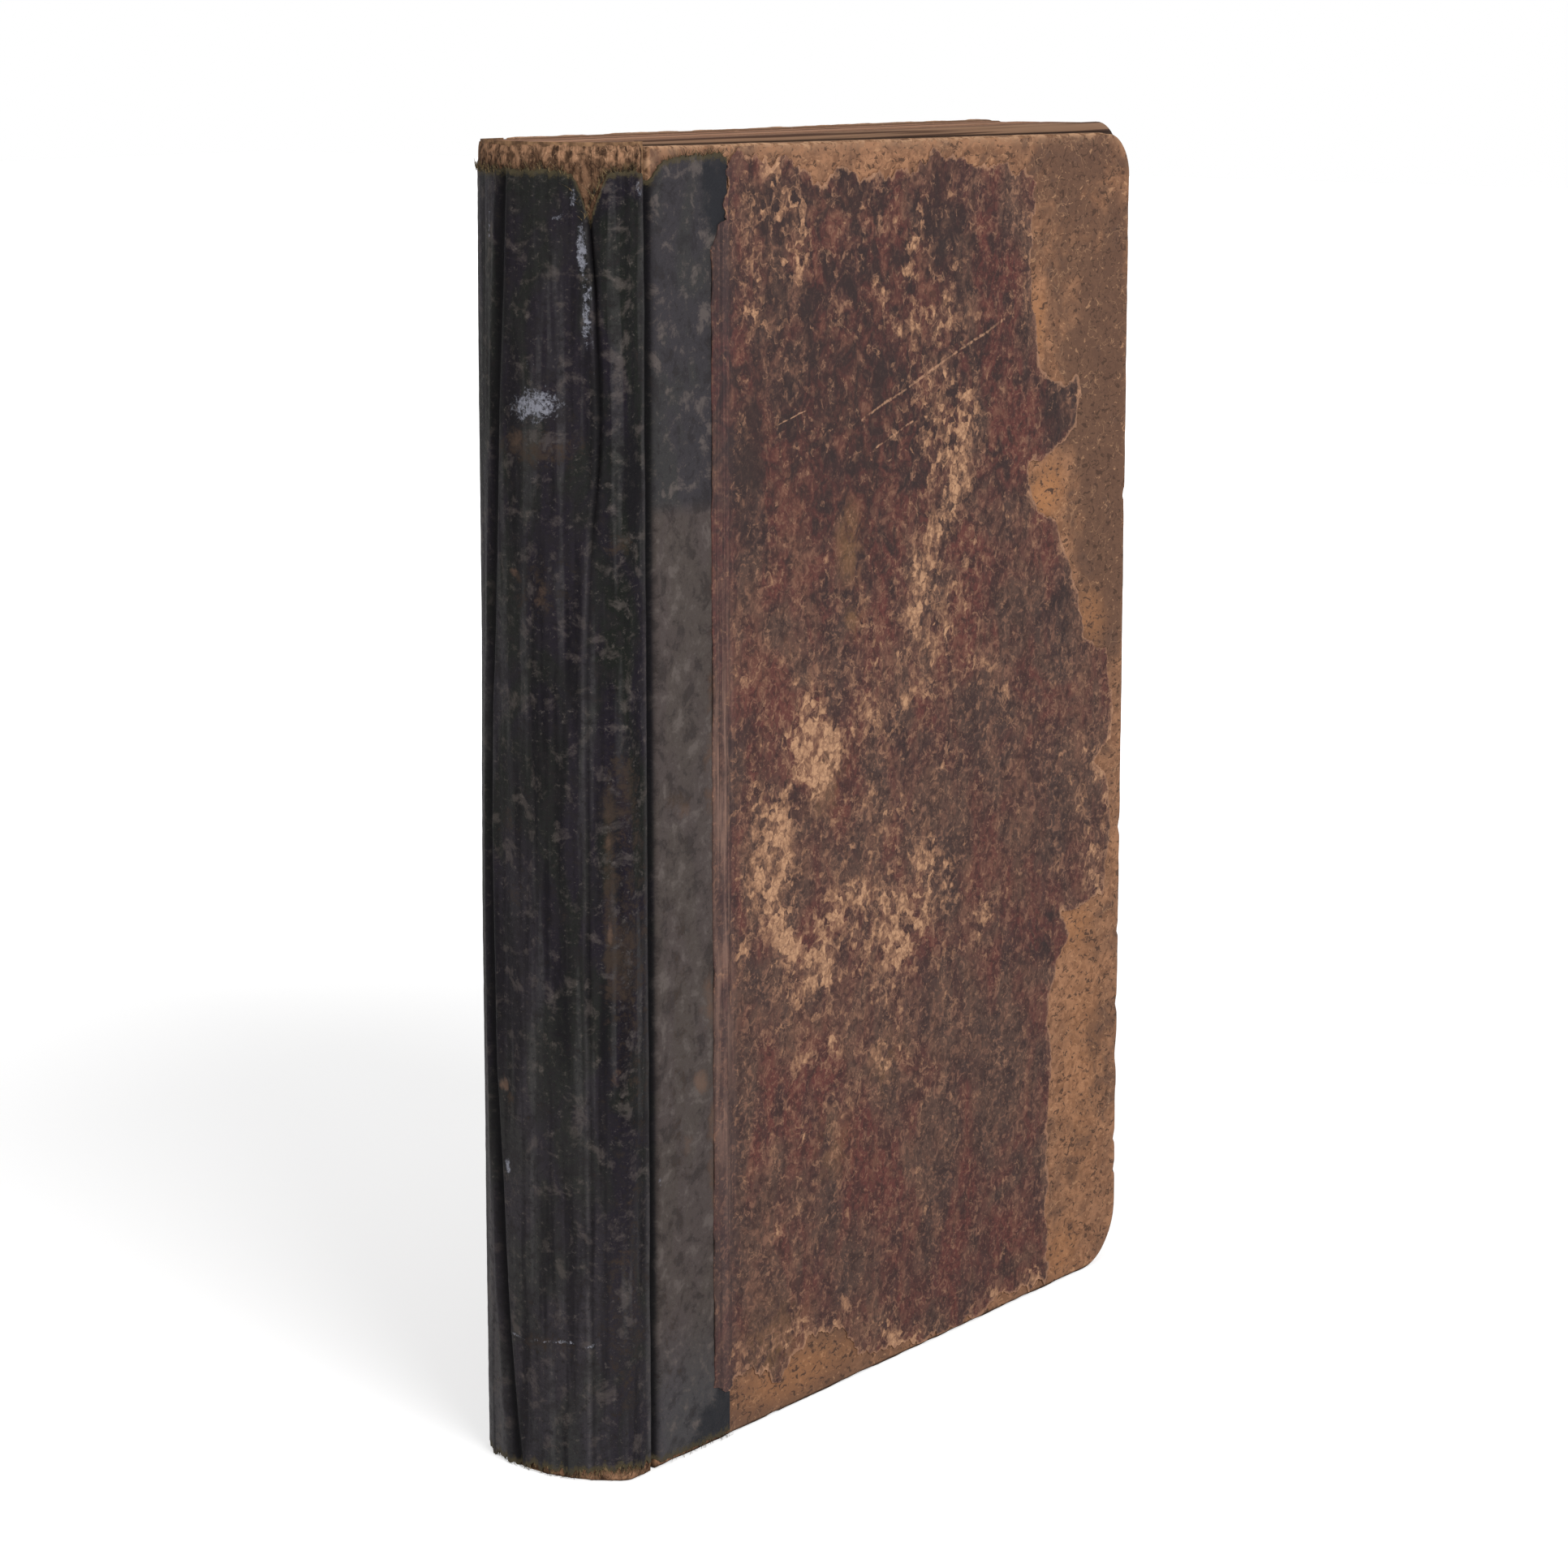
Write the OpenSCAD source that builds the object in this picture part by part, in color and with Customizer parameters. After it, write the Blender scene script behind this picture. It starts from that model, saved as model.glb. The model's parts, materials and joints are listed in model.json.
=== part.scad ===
// Worn quarter-bound journal standing on its tail.
// The cloth spine faces -X, the front cover faces -Y and the fore-edge faces +X.
// The origin is at the middle of the footprint, on the surface the book stands on.

/* [Page block] */
// Height of the page block, tail to head
book_h = 302; // [200:1:400]
// Thickness of the pages, between the flyleaves
block_t = 33.4; // [20:0.2:60]
// Thickness of each flyleaf
flyleaf_t = 0.3; // [0.2:0.05:0.6]
// Radius where the pages turn up into the backed shoulder
fold_r = 0.8; // [0.3:0.1:0.9]

/* [Spine] */
// Flat of the shoulder, from the joint to the start of its round
shoulder_flat = 6.7; // [3:0.1:12]
// Radius of the rounded shoulder, over the cloth
shoulder_r = 4; // [2.5:0.1:7]
// Rise of the rounded back beyond the shoulders
spine_rise = 6.4; // [3:0.1:10]
// Thickness of the open-weave mull on the back
mull_t = 0.4; // [0.2:0.05:0.6]
// Thickness of the brown paper lining over the mull
lining_t = 0.6; // [0.3:0.05:1]
// Thickness of the book cloth
cloth_t = 0.5; // [0.3:0.05:0.8]

/* [Sewing tapes] */
// Width of each tape
tape_w = 12; // [6:0.5:20]
// Thickness of each tape
tape_t = 0.4; // [0.2:0.05:0.6]
// Gap from one tape to the next
tape_gap = 78; // [50:1:100]

/* [Covers] */
// Width of each board, joint to fore-edge
board_w = 197; // [140:1:260]
// Thickness of each board
board_t = 3; // [2.4:0.1:5]
// Gap between the shoulder and the edge of the board
joint_gap = 1; // [0.9:0.1:3]
// Width of the groove along the joint
groove_w = 0.8; // [0.6:0.1:1.6]
// Running gap between the closed cover and the flyleaf
cover_gap = 0.3; // [0.3:0.05:0.8]
// Thickness of each pastedown
pastedown_t = 0.3; // [0.2:0.05:0.5]
// Radius of the fore-edge corners at the head
head_corner_r = 11; // [5:0.5:25]
// Radius of the fore-edge corners at the tail
tail_corner_r = 15.5; // [5:0.5:25]

/* [Sides] */
// Reach of the cloth over each board, from the joint
cloth_lap = 28; // [15:0.5:45]
// Overlap of the side paper on the edge of the cloth
paper_lap = 6; // [3:0.5:10]
// Thickness of the side paper
paper_t = 0.25; // [0.15:0.05:0.4]

/* [Wear] */
// Front board worn below the pages at the head, beside the joint
head_loss_joint = 1.2; // [0.4:0.1:3]
// Front board worn below the pages at the head, at the fore-edge
head_loss_fore = 2.8; // [0.4:0.1:5]
// Cloth lost from the head of the spine
spine_head_loss = 5.5; // [1:0.1:15]
// Cloth lost from the tail of the spine
spine_tail_loss = 2.5; // [0.5:0.1:10]
// Length of the tear down from the head of the spine
tear_len = 11; // [4:0.5:40]
// Width of the tear at its mouth
tear_w = 7; // [2:0.5:10]
// Distance of the tear behind the front face
tear_back = 7; // [5:0.5:12]
// Cloth lost along the head of the front board
lap_head_loss = 1.6; // [0.5:0.1:6]
// Cloth lost along the tail of the front board
lap_tail_loss = 1.5; // [0.5:0.1:6]
// Radius worn on the head corner of the cloth beside the joint
lap_corner_r = 6; // [2:0.5:12]
// Height of cloth laid bare at the head, where the edge of the paper has gone
bare_head_h = 17; // [8:0.5:30]
// Height of cloth laid bare at the tail
bare_tail_h = 14; // [5:0.5:30]
// Margin worn off the back side paper
back_margin = 2; // [0.5:0.1:6]

/* [Hidden] */
$fn = 96;

page_colour = [0.55, 0.43, 0.35];
leaf_colour = [0.72, 0.62, 0.49];
tape_colour = [0.80, 0.75, 0.64];
mull_colour = [0.74, 0.68, 0.57];
lining_colour = [0.55, 0.38, 0.24];
cloth_colour = [0.19, 0.18, 0.19];
board_colour = [0.59, 0.42, 0.28];
side_colour = [0.33, 0.23, 0.21];

// Levels through the thickness, measured out from the middle of the pages
flyleaf_y = block_t / 2;
pastedown_y = flyleaf_y + flyleaf_t + cover_gap;
board_y = pastedown_y + pastedown_t;
face_y = board_y + board_t;
half_t = face_y + cloth_t;

// Depth of each spine layer below the outer face of the cloth
lining_d = cloth_t;
mull_d = lining_d + lining_t;
block_d = mull_d + mull_t;
tape_d = block_d + tape_t;

// Rounded back: one arc between two smaller shoulder rounds that it touches
corner_y = half_t - shoulder_r;
arc_reach = (spine_rise * spine_rise + corner_y * corner_y) / (2 * spine_rise);
back_r = arc_reach + shoulder_r;
spine_depth = shoulder_flat + shoulder_r + spine_rise;

// Places along the width
total_w = spine_depth + joint_gap + board_w;
joint_x = spine_depth - total_w / 2;
corner_x = joint_x - shoulder_flat;
arc_x = joint_x - spine_depth + back_r;
board_x = joint_x + joint_gap;
fore_x = board_x + board_w;
lap_x = joint_x + groove_w / 2;
lap_end_x = joint_x + cloth_lap;
paper_x = lap_end_x - paper_lap;

// What is left of the front side paper, as shares of the board's width and height.
// Torn tail, from the joint on: distance from the joint and height laid bare
tail_shares = [
    [0.13, 0.040], [0.18, 0.050], [0.23, 0.033], [0.28, 0.047], [0.35, 0.050], [0.41, 0.020],
    [0.51, 0.010], [0.71, 0.013], [0.80, 0.007]
];
// Torn fore-edge, from the tail up: height and width laid bare
fore_shares = [
    [0.010, 0.167], [0.050, 0.177], [0.090, 0.167], [0.130, 0.177], [0.200, 0.167], [0.240, 0.177],
    [0.290, 0.157], [0.310, 0.126], [0.330, 0.146], [0.335, 0.045], [0.390, 0.030], [0.440, 0.040],
    [0.455, 0.070], [0.470, 0.030], [0.510, 0.030], [0.550, 0.045], [0.565, 0.096], [0.610, 0.121],
    [0.650, 0.152], [0.670, 0.172], [0.675, 0.202], [0.690, 0.227], [0.720, 0.232], [0.730, 0.177],
    [0.745, 0.121], [0.775, 0.111], [0.790, 0.126], [0.785, 0.157], [0.800, 0.207], [0.840, 0.222],
    [0.855, 0.237], [0.940, 0.227]
];
// Torn head, from the fore-edge back: distance from the joint and height laid bare
head_shares = [
    [0.77, 0.033], [0.71, 0.023], [0.66, 0.027], [0.61, 0.013], [0.55, 0.017], [0.49, 0.030],
    [0.38, 0.027], [0.28, 0.037], [0.21, 0.023], [0.15, 0.013]
];

// Length of cut that reaches past everything it trims
past = 2 * (book_h + board_w);

// Height of the front board's worn head at a distance from the board's joint edge
function worn_head(x) = book_h - head_loss_joint - (head_loss_fore - head_loss_joint) * x / board_w;

// Outline of a leaf or board seen from the front, square at the joint and rounded at the fore-edge.
// It runs from x0 to the fore-edge and loses loss_joint and loss_fore of its height at the head.
module leaf_outline(x0, loss_joint = 0, loss_fore = 0) {
    slope = atan((loss_fore - loss_joint) / board_w);
    head_z = book_h - loss_joint;
    head_cx = fore_x - head_corner_r;
    head_cz = head_z - tan(slope) * (head_cx - x0) - head_corner_r / cos(slope);
    translate([head_cx, head_cz]) circle(r = head_corner_r);
    translate([fore_x - tail_corner_r, tail_corner_r]) circle(r = tail_corner_r);
    polygon([
        [x0, 0], [fore_x - tail_corner_r, 0], [fore_x, tail_corner_r], [fore_x, head_cz],
        [head_cx + head_corner_r * sin(slope), head_cz + head_corner_r * cos(slope)], [x0, head_z]
    ]);
}

// Stands an outline up as a sheet: thick is its thickness and y its face nearer the pages, on the front
module front_sheet(y, thick) {
    translate([0, -y, 0]) rotate([90, 0, 0]) linear_extrude(thick) children();
}

// Plan of the rounded back, a depth d inside the outer face of the cloth
module back_plan(d) {
    reach = past / arc_reach;
    ray_x = (corner_x - arc_x) * reach;
    ray_y = corner_y * reach;
    intersection() {
        translate([arc_x, 0]) circle(r = back_r - d);
        polygon([
            [corner_x, corner_y], [corner_x + ray_x, corner_y + ray_y],
            [corner_x + ray_x, -corner_y - ray_y], [corner_x, -corner_y]
        ]);
    }
    for (side = [-1, 1]) translate([corner_x, side * corner_y]) circle(r = shoulder_r - d);
    translate([corner_x, d - half_t]) square([shoulder_flat, 2 * (half_t - d)]);
}

// Plan of one layer on the back, from depth d_out to depth d_in, ending at the joint's groove
module back_layer(d_out, d_in) {
    difference() {
        back_plan(d_out);
        back_plan(d_in);
        translate([joint_x - groove_w / 2, -past / 2]) square([past, past]);
    }
}

// Plan of the pages: rounded back, shoulders and the straight sides between the flyleaves
module page_plan() {
    back_plan(block_d);
    translate([joint_x, -flyleaf_y]) square([fore_x - joint_x, block_t]);
    for (side = [0, 1]) mirror([0, side]) difference() {
        translate([joint_x, flyleaf_y]) square(fold_r);
        translate([joint_x + fold_r, flyleaf_y + fold_r]) circle(r = fold_r);
    }
}

// Places its children at the height of each sewing tape
module at_tapes() {
    tape_pitch = tape_w + tape_gap;
    for (step = [-1, 0, 1]) translate([0, 0, book_h / 2 + step * tape_pitch - tape_w / 2]) children();
}

// Strip of a tape's thickness around the back of the pages
module tape_strip() {
    linear_extrude(tape_w) back_layer(block_d, tape_d);
}

// Sewn pages, rounded and backed, with the tapes let into the folds
module text_block() {
    color(page_colour) difference() {
        intersection() {
            linear_extrude(book_h) page_plan();
            front_sheet(-half_t, 2 * half_t) leaf_outline(joint_x - spine_depth);
        }
        at_tapes() tape_strip();
    }
}

module sewing_tapes() {
    color(tape_colour) at_tapes() tape_strip();
}

module spine_mull() {
    color(mull_colour) linear_extrude(book_h) back_layer(mull_d, block_d);
}

module spine_lining() {
    color(lining_colour) linear_extrude(book_h) back_layer(lining_d, mull_d);
}

// Tear that opens from the head of the spine cloth towards the front shoulder
module head_tear() {
    head_z = book_h - spine_head_loss;
    tear_y = tear_back - half_t;
    translate([0, tear_y, 0]) rotate([90, 0, 90]) translate([0, 0, joint_x - past]) linear_extrude(past)
        polygon([
            [-tear_w / 2, head_z], [-tear_w / 2, book_h], [tear_w / 2, book_h], [tear_w / 2, head_z],
            [0, head_z - tear_len]
        ]);
}

// Cloth over the spine, worn short at the head and tail
module spine_cloth() {
    color(cloth_colour) difference() {
        translate([0, 0, spine_tail_loss])
            linear_extrude(book_h - spine_head_loss - spine_tail_loss) back_layer(0, lining_d);
        head_tear();
    }
}

module flyleaf() {
    color(leaf_colour) front_sheet(flyleaf_y, flyleaf_t) leaf_outline(joint_x + fold_r);
}

module front_flyleaf() {
    flyleaf();
}

module back_flyleaf() {
    mirror([0, 1, 0]) flyleaf();
}

// Front board, its head worn down below the pages
module front_board() {
    color(board_colour) front_sheet(board_y, board_t) leaf_outline(board_x, head_loss_joint, head_loss_fore);
}

module front_pastedown() {
    color(leaf_colour) front_sheet(pastedown_y, pastedown_t)
        leaf_outline(board_x, head_loss_joint, head_loss_fore);
}

// Spine cloth where it laps the front board, one head corner worn round
module front_lap_cloth() {
    head_joint = worn_head(0) - lap_head_loss;
    head_end = worn_head(cloth_lap) - lap_head_loss;
    color(cloth_colour) front_sheet(face_y, cloth_t) {
        translate([lap_x + lap_corner_r, head_joint - lap_corner_r]) intersection() {
            circle(r = lap_corner_r);
            translate([-past, -past / 2]) square([past, past]);
        }
        polygon([
            [lap_x, lap_tail_loss], [lap_end_x, lap_tail_loss], [lap_end_x, head_end],
            [lap_x + lap_corner_r, head_joint], [lap_x, head_joint - lap_corner_r]
        ]);
    }
}

// Plan of the side paper, stepping from the cloth down on to the board
module paper_plan() {
    translate([paper_x, -half_t - paper_t]) square([paper_lap + paper_t, paper_t]);
    translate([lap_end_x, -half_t - paper_t]) square([paper_t, half_t + paper_t - face_y]);
    translate([lap_end_x, -face_y - paper_t]) square([fore_x - lap_end_x, paper_t]);
}

// Side paper trimmed to an outline seen from the front
module side_paper() {
    color(side_colour) intersection() {
        linear_extrude(book_h) paper_plan();
        front_sheet(face_y - paper_t, cloth_t + 3 * paper_t) children();
    }
}

// What the tearing has left of the front side paper
module torn_outline() {
    polygon([
        [paper_x, bare_tail_h],
        for (p = tail_shares) [board_x + p[0] * board_w, p[1] * book_h],
        for (p = fore_shares) [fore_x - p[1] * board_w, p[0] * book_h],
        for (p = head_shares) [board_x + p[0] * board_w, worn_head(p[0] * board_w) - p[1] * book_h],
        [lap_end_x, worn_head(cloth_lap) - bare_head_h],
        [paper_x, worn_head(cloth_lap) - bare_head_h - paper_lap]
    ]);
}

module front_side_paper() {
    side_paper() torn_outline();
}

module back_board() {
    color(board_colour) mirror([0, 1, 0]) front_sheet(board_y, board_t) leaf_outline(board_x);
}

module back_pastedown() {
    color(leaf_colour) mirror([0, 1, 0]) front_sheet(pastedown_y, pastedown_t) leaf_outline(board_x);
}

module back_lap_cloth() {
    color(cloth_colour) mirror([0, 1, 0]) front_sheet(face_y, cloth_t)
        translate([lap_x, lap_tail_loss]) square([lap_end_x - lap_x, book_h - lap_head_loss - lap_tail_loss]);
}

// Back side paper, worn off along the three open edges
module back_side_paper() {
    head_r = head_corner_r - back_margin;
    tail_r = tail_corner_r - back_margin;
    x1 = fore_x - back_margin;
    z1 = book_h - back_margin;
    mirror([0, 1, 0]) side_paper() {
        translate([x1 - head_r, z1 - head_r]) circle(r = head_r);
        translate([x1 - tail_r, back_margin + tail_r]) circle(r = tail_r);
        polygon([
            [paper_x, back_margin], [x1 - tail_r, back_margin], [x1, back_margin + tail_r],
            [x1, z1 - head_r], [x1 - head_r, z1], [paper_x, z1]
        ]);
    }
}

text_block();
front_flyleaf();
back_flyleaf();
sewing_tapes();
spine_mull();
spine_lining();
spine_cloth();
front_board();
front_lap_cloth();
front_side_paper();
front_pastedown();
back_board();
back_lap_cloth();
back_side_paper();
back_pastedown();
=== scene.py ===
"""A worn quarter-bound journal: the look of every surface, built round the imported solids."""

import json
import math

import bpy
import numpy as np
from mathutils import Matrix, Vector
from mathutils.geometry import delaunay_2d_cdt


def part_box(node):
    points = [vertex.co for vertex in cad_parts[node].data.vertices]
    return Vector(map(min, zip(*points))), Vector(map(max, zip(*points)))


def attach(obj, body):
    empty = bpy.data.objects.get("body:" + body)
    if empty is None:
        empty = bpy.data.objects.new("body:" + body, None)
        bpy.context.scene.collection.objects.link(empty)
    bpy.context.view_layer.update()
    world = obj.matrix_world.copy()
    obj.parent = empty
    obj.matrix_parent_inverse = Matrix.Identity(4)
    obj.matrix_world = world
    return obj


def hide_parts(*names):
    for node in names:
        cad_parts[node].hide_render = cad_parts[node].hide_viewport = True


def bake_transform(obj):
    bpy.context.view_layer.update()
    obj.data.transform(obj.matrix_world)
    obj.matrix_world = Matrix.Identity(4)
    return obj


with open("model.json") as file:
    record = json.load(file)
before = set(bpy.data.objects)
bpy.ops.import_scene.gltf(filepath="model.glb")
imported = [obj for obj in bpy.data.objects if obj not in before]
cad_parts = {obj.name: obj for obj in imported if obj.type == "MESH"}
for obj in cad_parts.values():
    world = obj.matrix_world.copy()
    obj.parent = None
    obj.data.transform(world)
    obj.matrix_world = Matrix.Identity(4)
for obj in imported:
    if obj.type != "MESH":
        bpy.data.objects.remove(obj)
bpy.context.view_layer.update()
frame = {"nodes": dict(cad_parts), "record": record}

# Sizes, in millimetres, read from the solids
MM = 0.001


def corners(node):
    low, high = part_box(node)
    return np.array(low) / MM, np.array(high) / MM


hinge = {j["name"]: j for j in frame["record"]["behaviour"]["joints"]}
JOINT_X = hinge["front_cover_hinge"]["pos_m"][0] / MM
BOOK_H = corners("text_block")[1][2]
PAGES_Y = -corners("front_flyleaf")[1][1]
BACK_Y = corners("text_block")[1][1]
BOARD_X, BOARD_Y = corners("front_board")[0][0], -corners("front_board")[1][1]
FORE_X, FACE_Y = corners("front_board")[1][0], -corners("front_board")[0][1]
FRONT_HEAD = corners("front_board")[1][2]
HALF_T = corners("spine_cloth")[1][1]
SPINE_X = corners("spine_cloth")[0][0]
LAP_X = corners("front_lap_cloth")[1][0]
PAPER_X = corners("front_side_paper")[0][0]
BOARD_W = FORE_X - BOARD_X

# Sizes that the boxes of the solids don't show
SHOULDER_FLAT = 6.7
SHOULDER_R = 4.0
HEAD_CORNER_R = 11.0
TAIL_CORNER_R = 15.5
HEAD_LOSS_JOINT = BOOK_H - FRONT_HEAD
HEAD_LOSS_FORE = 2.8
PAPER_T = 0.25
CLOTH_T = 0.4

# Rounded back: an arc between two shoulder rounds, measured along s from the front joint to the back one
RISE = JOINT_X - SPINE_X - SHOULDER_FLAT - SHOULDER_R
ROUND_Y = HALF_T - SHOULDER_R
ROUND_X = JOINT_X - SHOULDER_FLAT
ARC_REACH = (RISE**2 + ROUND_Y**2) / (2 * RISE)
BACK_R = ARC_REACH + SHOULDER_R
ARC_X = SPINE_X + BACK_R
ARC_HALF = math.asin(ROUND_Y / ARC_REACH)
ROUND_TURN = math.pi / 2 - ARC_HALF
S_ROUND = SHOULDER_FLAT
S_ARC = S_ROUND + SHOULDER_R * ROUND_TURN
S_ARC_END = S_ARC + BACK_R * 2 * ARC_HALF
S_FLAT = S_ARC_END + SHOULDER_R * ROUND_TURN
S_END = S_FLAT + SHOULDER_FLAT
LAP = LAP_X - JOINT_X
SEAM = 17.0


# Numbers that vary smoothly
def lattice(u, v, seed):
    """Smooth noise from 0 to 1 on a unit lattice."""
    iu, iv = np.floor(u), np.floor(v)
    fu, fv = u - iu, v - iv
    fu, fv = fu * fu * (3 - 2 * fu), fv * fv * (3 - 2 * fv)

    def corner(a, b):
        h = np.sin((iu + a) * 127.1 + (iv + b) * 311.7 + seed * 74.7) * 43758.5453
        return h - np.floor(h)

    low = corner(0, 0) * (1 - fu) + corner(1, 0) * fu
    high = corner(0, 1) * (1 - fu) + corner(1, 1) * fu
    return low * (1 - fv) + high * fv


def rough(u, v, seed, octaves=4):
    """Layered noise from -1 to 1."""
    total, weight = 0.0, 0.0
    for k in range(octaves):
        total = total + (2 * lattice(u * 2**k, v * 2**k, seed + 11 * k) - 1) / 2**k
        weight += 1 / 2**k
    return total / weight


def ease(x, low, high):
    """0 below low, 1 above high, smooth between."""
    t = np.clip((x - low) / (high - low), 0, 1)
    return t * t * (3 - 2 * t)


def fall(x, low, high):
    """1 below low, 0 above high, smooth between."""
    return 1 - ease(x, low, high)


def joined(*axes):
    """Coordinates side by side in the last axis."""
    return np.stack(axes, -1)


def stepped(stops, counts):
    """Numbers from stop to stop, a count of them in each span, with the last stop included."""
    spans = zip(stops, stops[1:], counts)
    return np.concatenate([np.linspace(a, b, n, endpoint=b == stops[-1]) for a, b, n in spans])


def spots(x, z, patches):
    """Sum of soft ellipses, each (x, z, half width, half height, strength), some with a turn in degrees."""
    total = np.zeros_like(x, dtype=float)
    for px, pz, rx, rz, strength, *turn in patches:
        angle = math.radians(sum(turn))
        c, s = math.cos(angle), math.sin(angle)
        u = ((x - px) * c + (z - pz) * s) / rx
        v = ((z - pz) * c - (x - px) * s) / rz
        total += strength * np.exp(-((u * u + v * v) ** 1.5))
    return total


# Materials
def tint(r, g, b):
    """Screen colour, 0 to 255, as the linear colour that a shader takes."""
    c = np.array([r, g, b]) / 255
    lin = np.where(c <= 0.04045, c / 12.92, ((c + 0.055) / 1.055) ** 2.4)
    return (*lin.tolist(), 1.0)


class Look:
    """Nodes of a material or of the world. Most calls add nodes and hand back an output."""

    def __init__(self, owner, space):
        owner.use_nodes = True
        self.owner = owner
        self.tree = owner.node_tree
        self.space = space
        self.base = None

    def fill(self, node, inputs):
        """Sets inputs of a node to numbers, outputs of other nodes, or fields given by name."""
        for key, value in inputs.items():
            if isinstance(value, str):
                value = self.node("ShaderNodeAttribute", {}, "Fac", attribute_name=value)
            if isinstance(value, bpy.types.NodeSocket):
                self.tree.links.new(value, node.inputs[key])
            else:
                node.inputs[key].default_value = value

    def node(self, kind, inputs, out=0, **settings):
        made = self.tree.nodes.new(kind)
        for key, value in settings.items():
            setattr(made, key, value)
        self.fill(made, inputs)
        return made.outputs[out]

    def math(self, operation, a, b):
        return self.node("ShaderNodeMath", {0: a, 1: b}, operation=operation)

    def times(self, a, b):
        return self.math("MULTIPLY", a, b)

    def add(self, *terms):
        """Sum of (value, factor) pairs."""
        total = 0.0
        for value, factor in terms:
            total = self.node("ShaderNodeMath", {0: value, 1: factor, 2: total}, operation="MULTIPLY_ADD")
        return total

    def step(self, value, low, high):
        """0 where a value is at low, 1 where it is at high, smooth between."""
        inputs = {"Value": value, "From Min": low, "From Max": high}
        return self.node("ShaderNodeMapRange", inputs, interpolation_type="SMOOTHSTEP")

    def place(self, scale):
        """Resting position in millimetres, times a scale along each axis."""
        if self.space:
            spot = self.node("ShaderNodeAttribute", {}, "Vector", attribute_name=self.space)
        else:
            spot = self.node("ShaderNodeTexCoord", {}, "Object")
            scale = tuple(s / MM for s in scale)
        return self.node("ShaderNodeVectorMath", {0: spot, 1: scale}, operation="MULTIPLY")

    def noise(self, scale, detail, roughness, distortion=0.0):
        return self.node("ShaderNodeTexNoise", {
            "Vector": self.place(scale), "Scale": 1.0, "Detail": detail, "Roughness": roughness,
            "Distortion": distortion,
        })

    def warp(self, scale, amount):
        """A place pushed about by noise."""
        vector = self.place(scale)
        push = self.node("ShaderNodeTexNoise", {"Vector": vector, "Scale": 1.0, "Detail": 3.0}, "Color")
        inputs = {0: push, 1: (amount, amount, amount), 2: vector}
        return self.node("ShaderNodeVectorMath", inputs, operation="MULTIPLY_ADD")

    def cells(self, vector):
        """Distance to the nearest border of a crackle."""
        inputs = {"Vector": vector, "Scale": 1.0}
        return self.node("ShaderNodeTexVoronoi", inputs, "Distance", feature="DISTANCE_TO_EDGE")

    def beyond(self, vector, axis, low, high):
        """0 where a coordinate is at low, 1 where it is at high."""
        return self.step(self.node("ShaderNodeSeparateXYZ", {0: vector}, axis), low, high)

    def mix(self, share, a, b):
        """Two colours mixed, each a screen colour or the output of a node."""
        a, b = [tint(*c) if isinstance(c, tuple) else c for c in (a, b)]
        return self.node("ShaderNodeMix", {0: share, 6: a, 7: b}, 2, data_type="RGBA")

    def veil(self, share, strength, colour):
        """Lays a colour over part of the base, no thicker than a strength."""
        self.base = self.mix(self.times(share, strength), self.base, colour)

    def veils(self, coats):
        """Lays colours over the base in turn, each (value, low, high, strength, colour)."""
        for value, low, high, strength, colour in coats:
            self.veil(self.step(value, low, high), strength, colour)

    def seen(self):
        """1 for rays that show a surface to the camera, straight, mirrored or let through."""
        path = self.tree.nodes.new("ShaderNodeLightPath").outputs
        mirrored = self.math("MAXIMUM", path["Is Camera Ray"], path["Is Glossy Ray"])
        return self.math("MAXIMUM", mirrored, path["Is Transmission Ray"])

    def done(self, roughness, height, depth, specular):
        """Closes a material: depth is the height of its relief in millimetres."""
        normal = self.node("ShaderNodeBump", {"Height": height, "Strength": 1.0, "Distance": depth * MM})
        self.fill(self.tree.nodes["Principled BSDF"], {
            "Base Color": self.base, "Roughness": roughness, "Specular IOR Level": specular, "Normal": normal,
        })
        return self.owner


def material(name, space="rest"):
    """A new material. space is the field that holds each point's place, or None on a solid of the frame."""
    return Look(bpy.data.materials.new(name), space)


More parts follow.
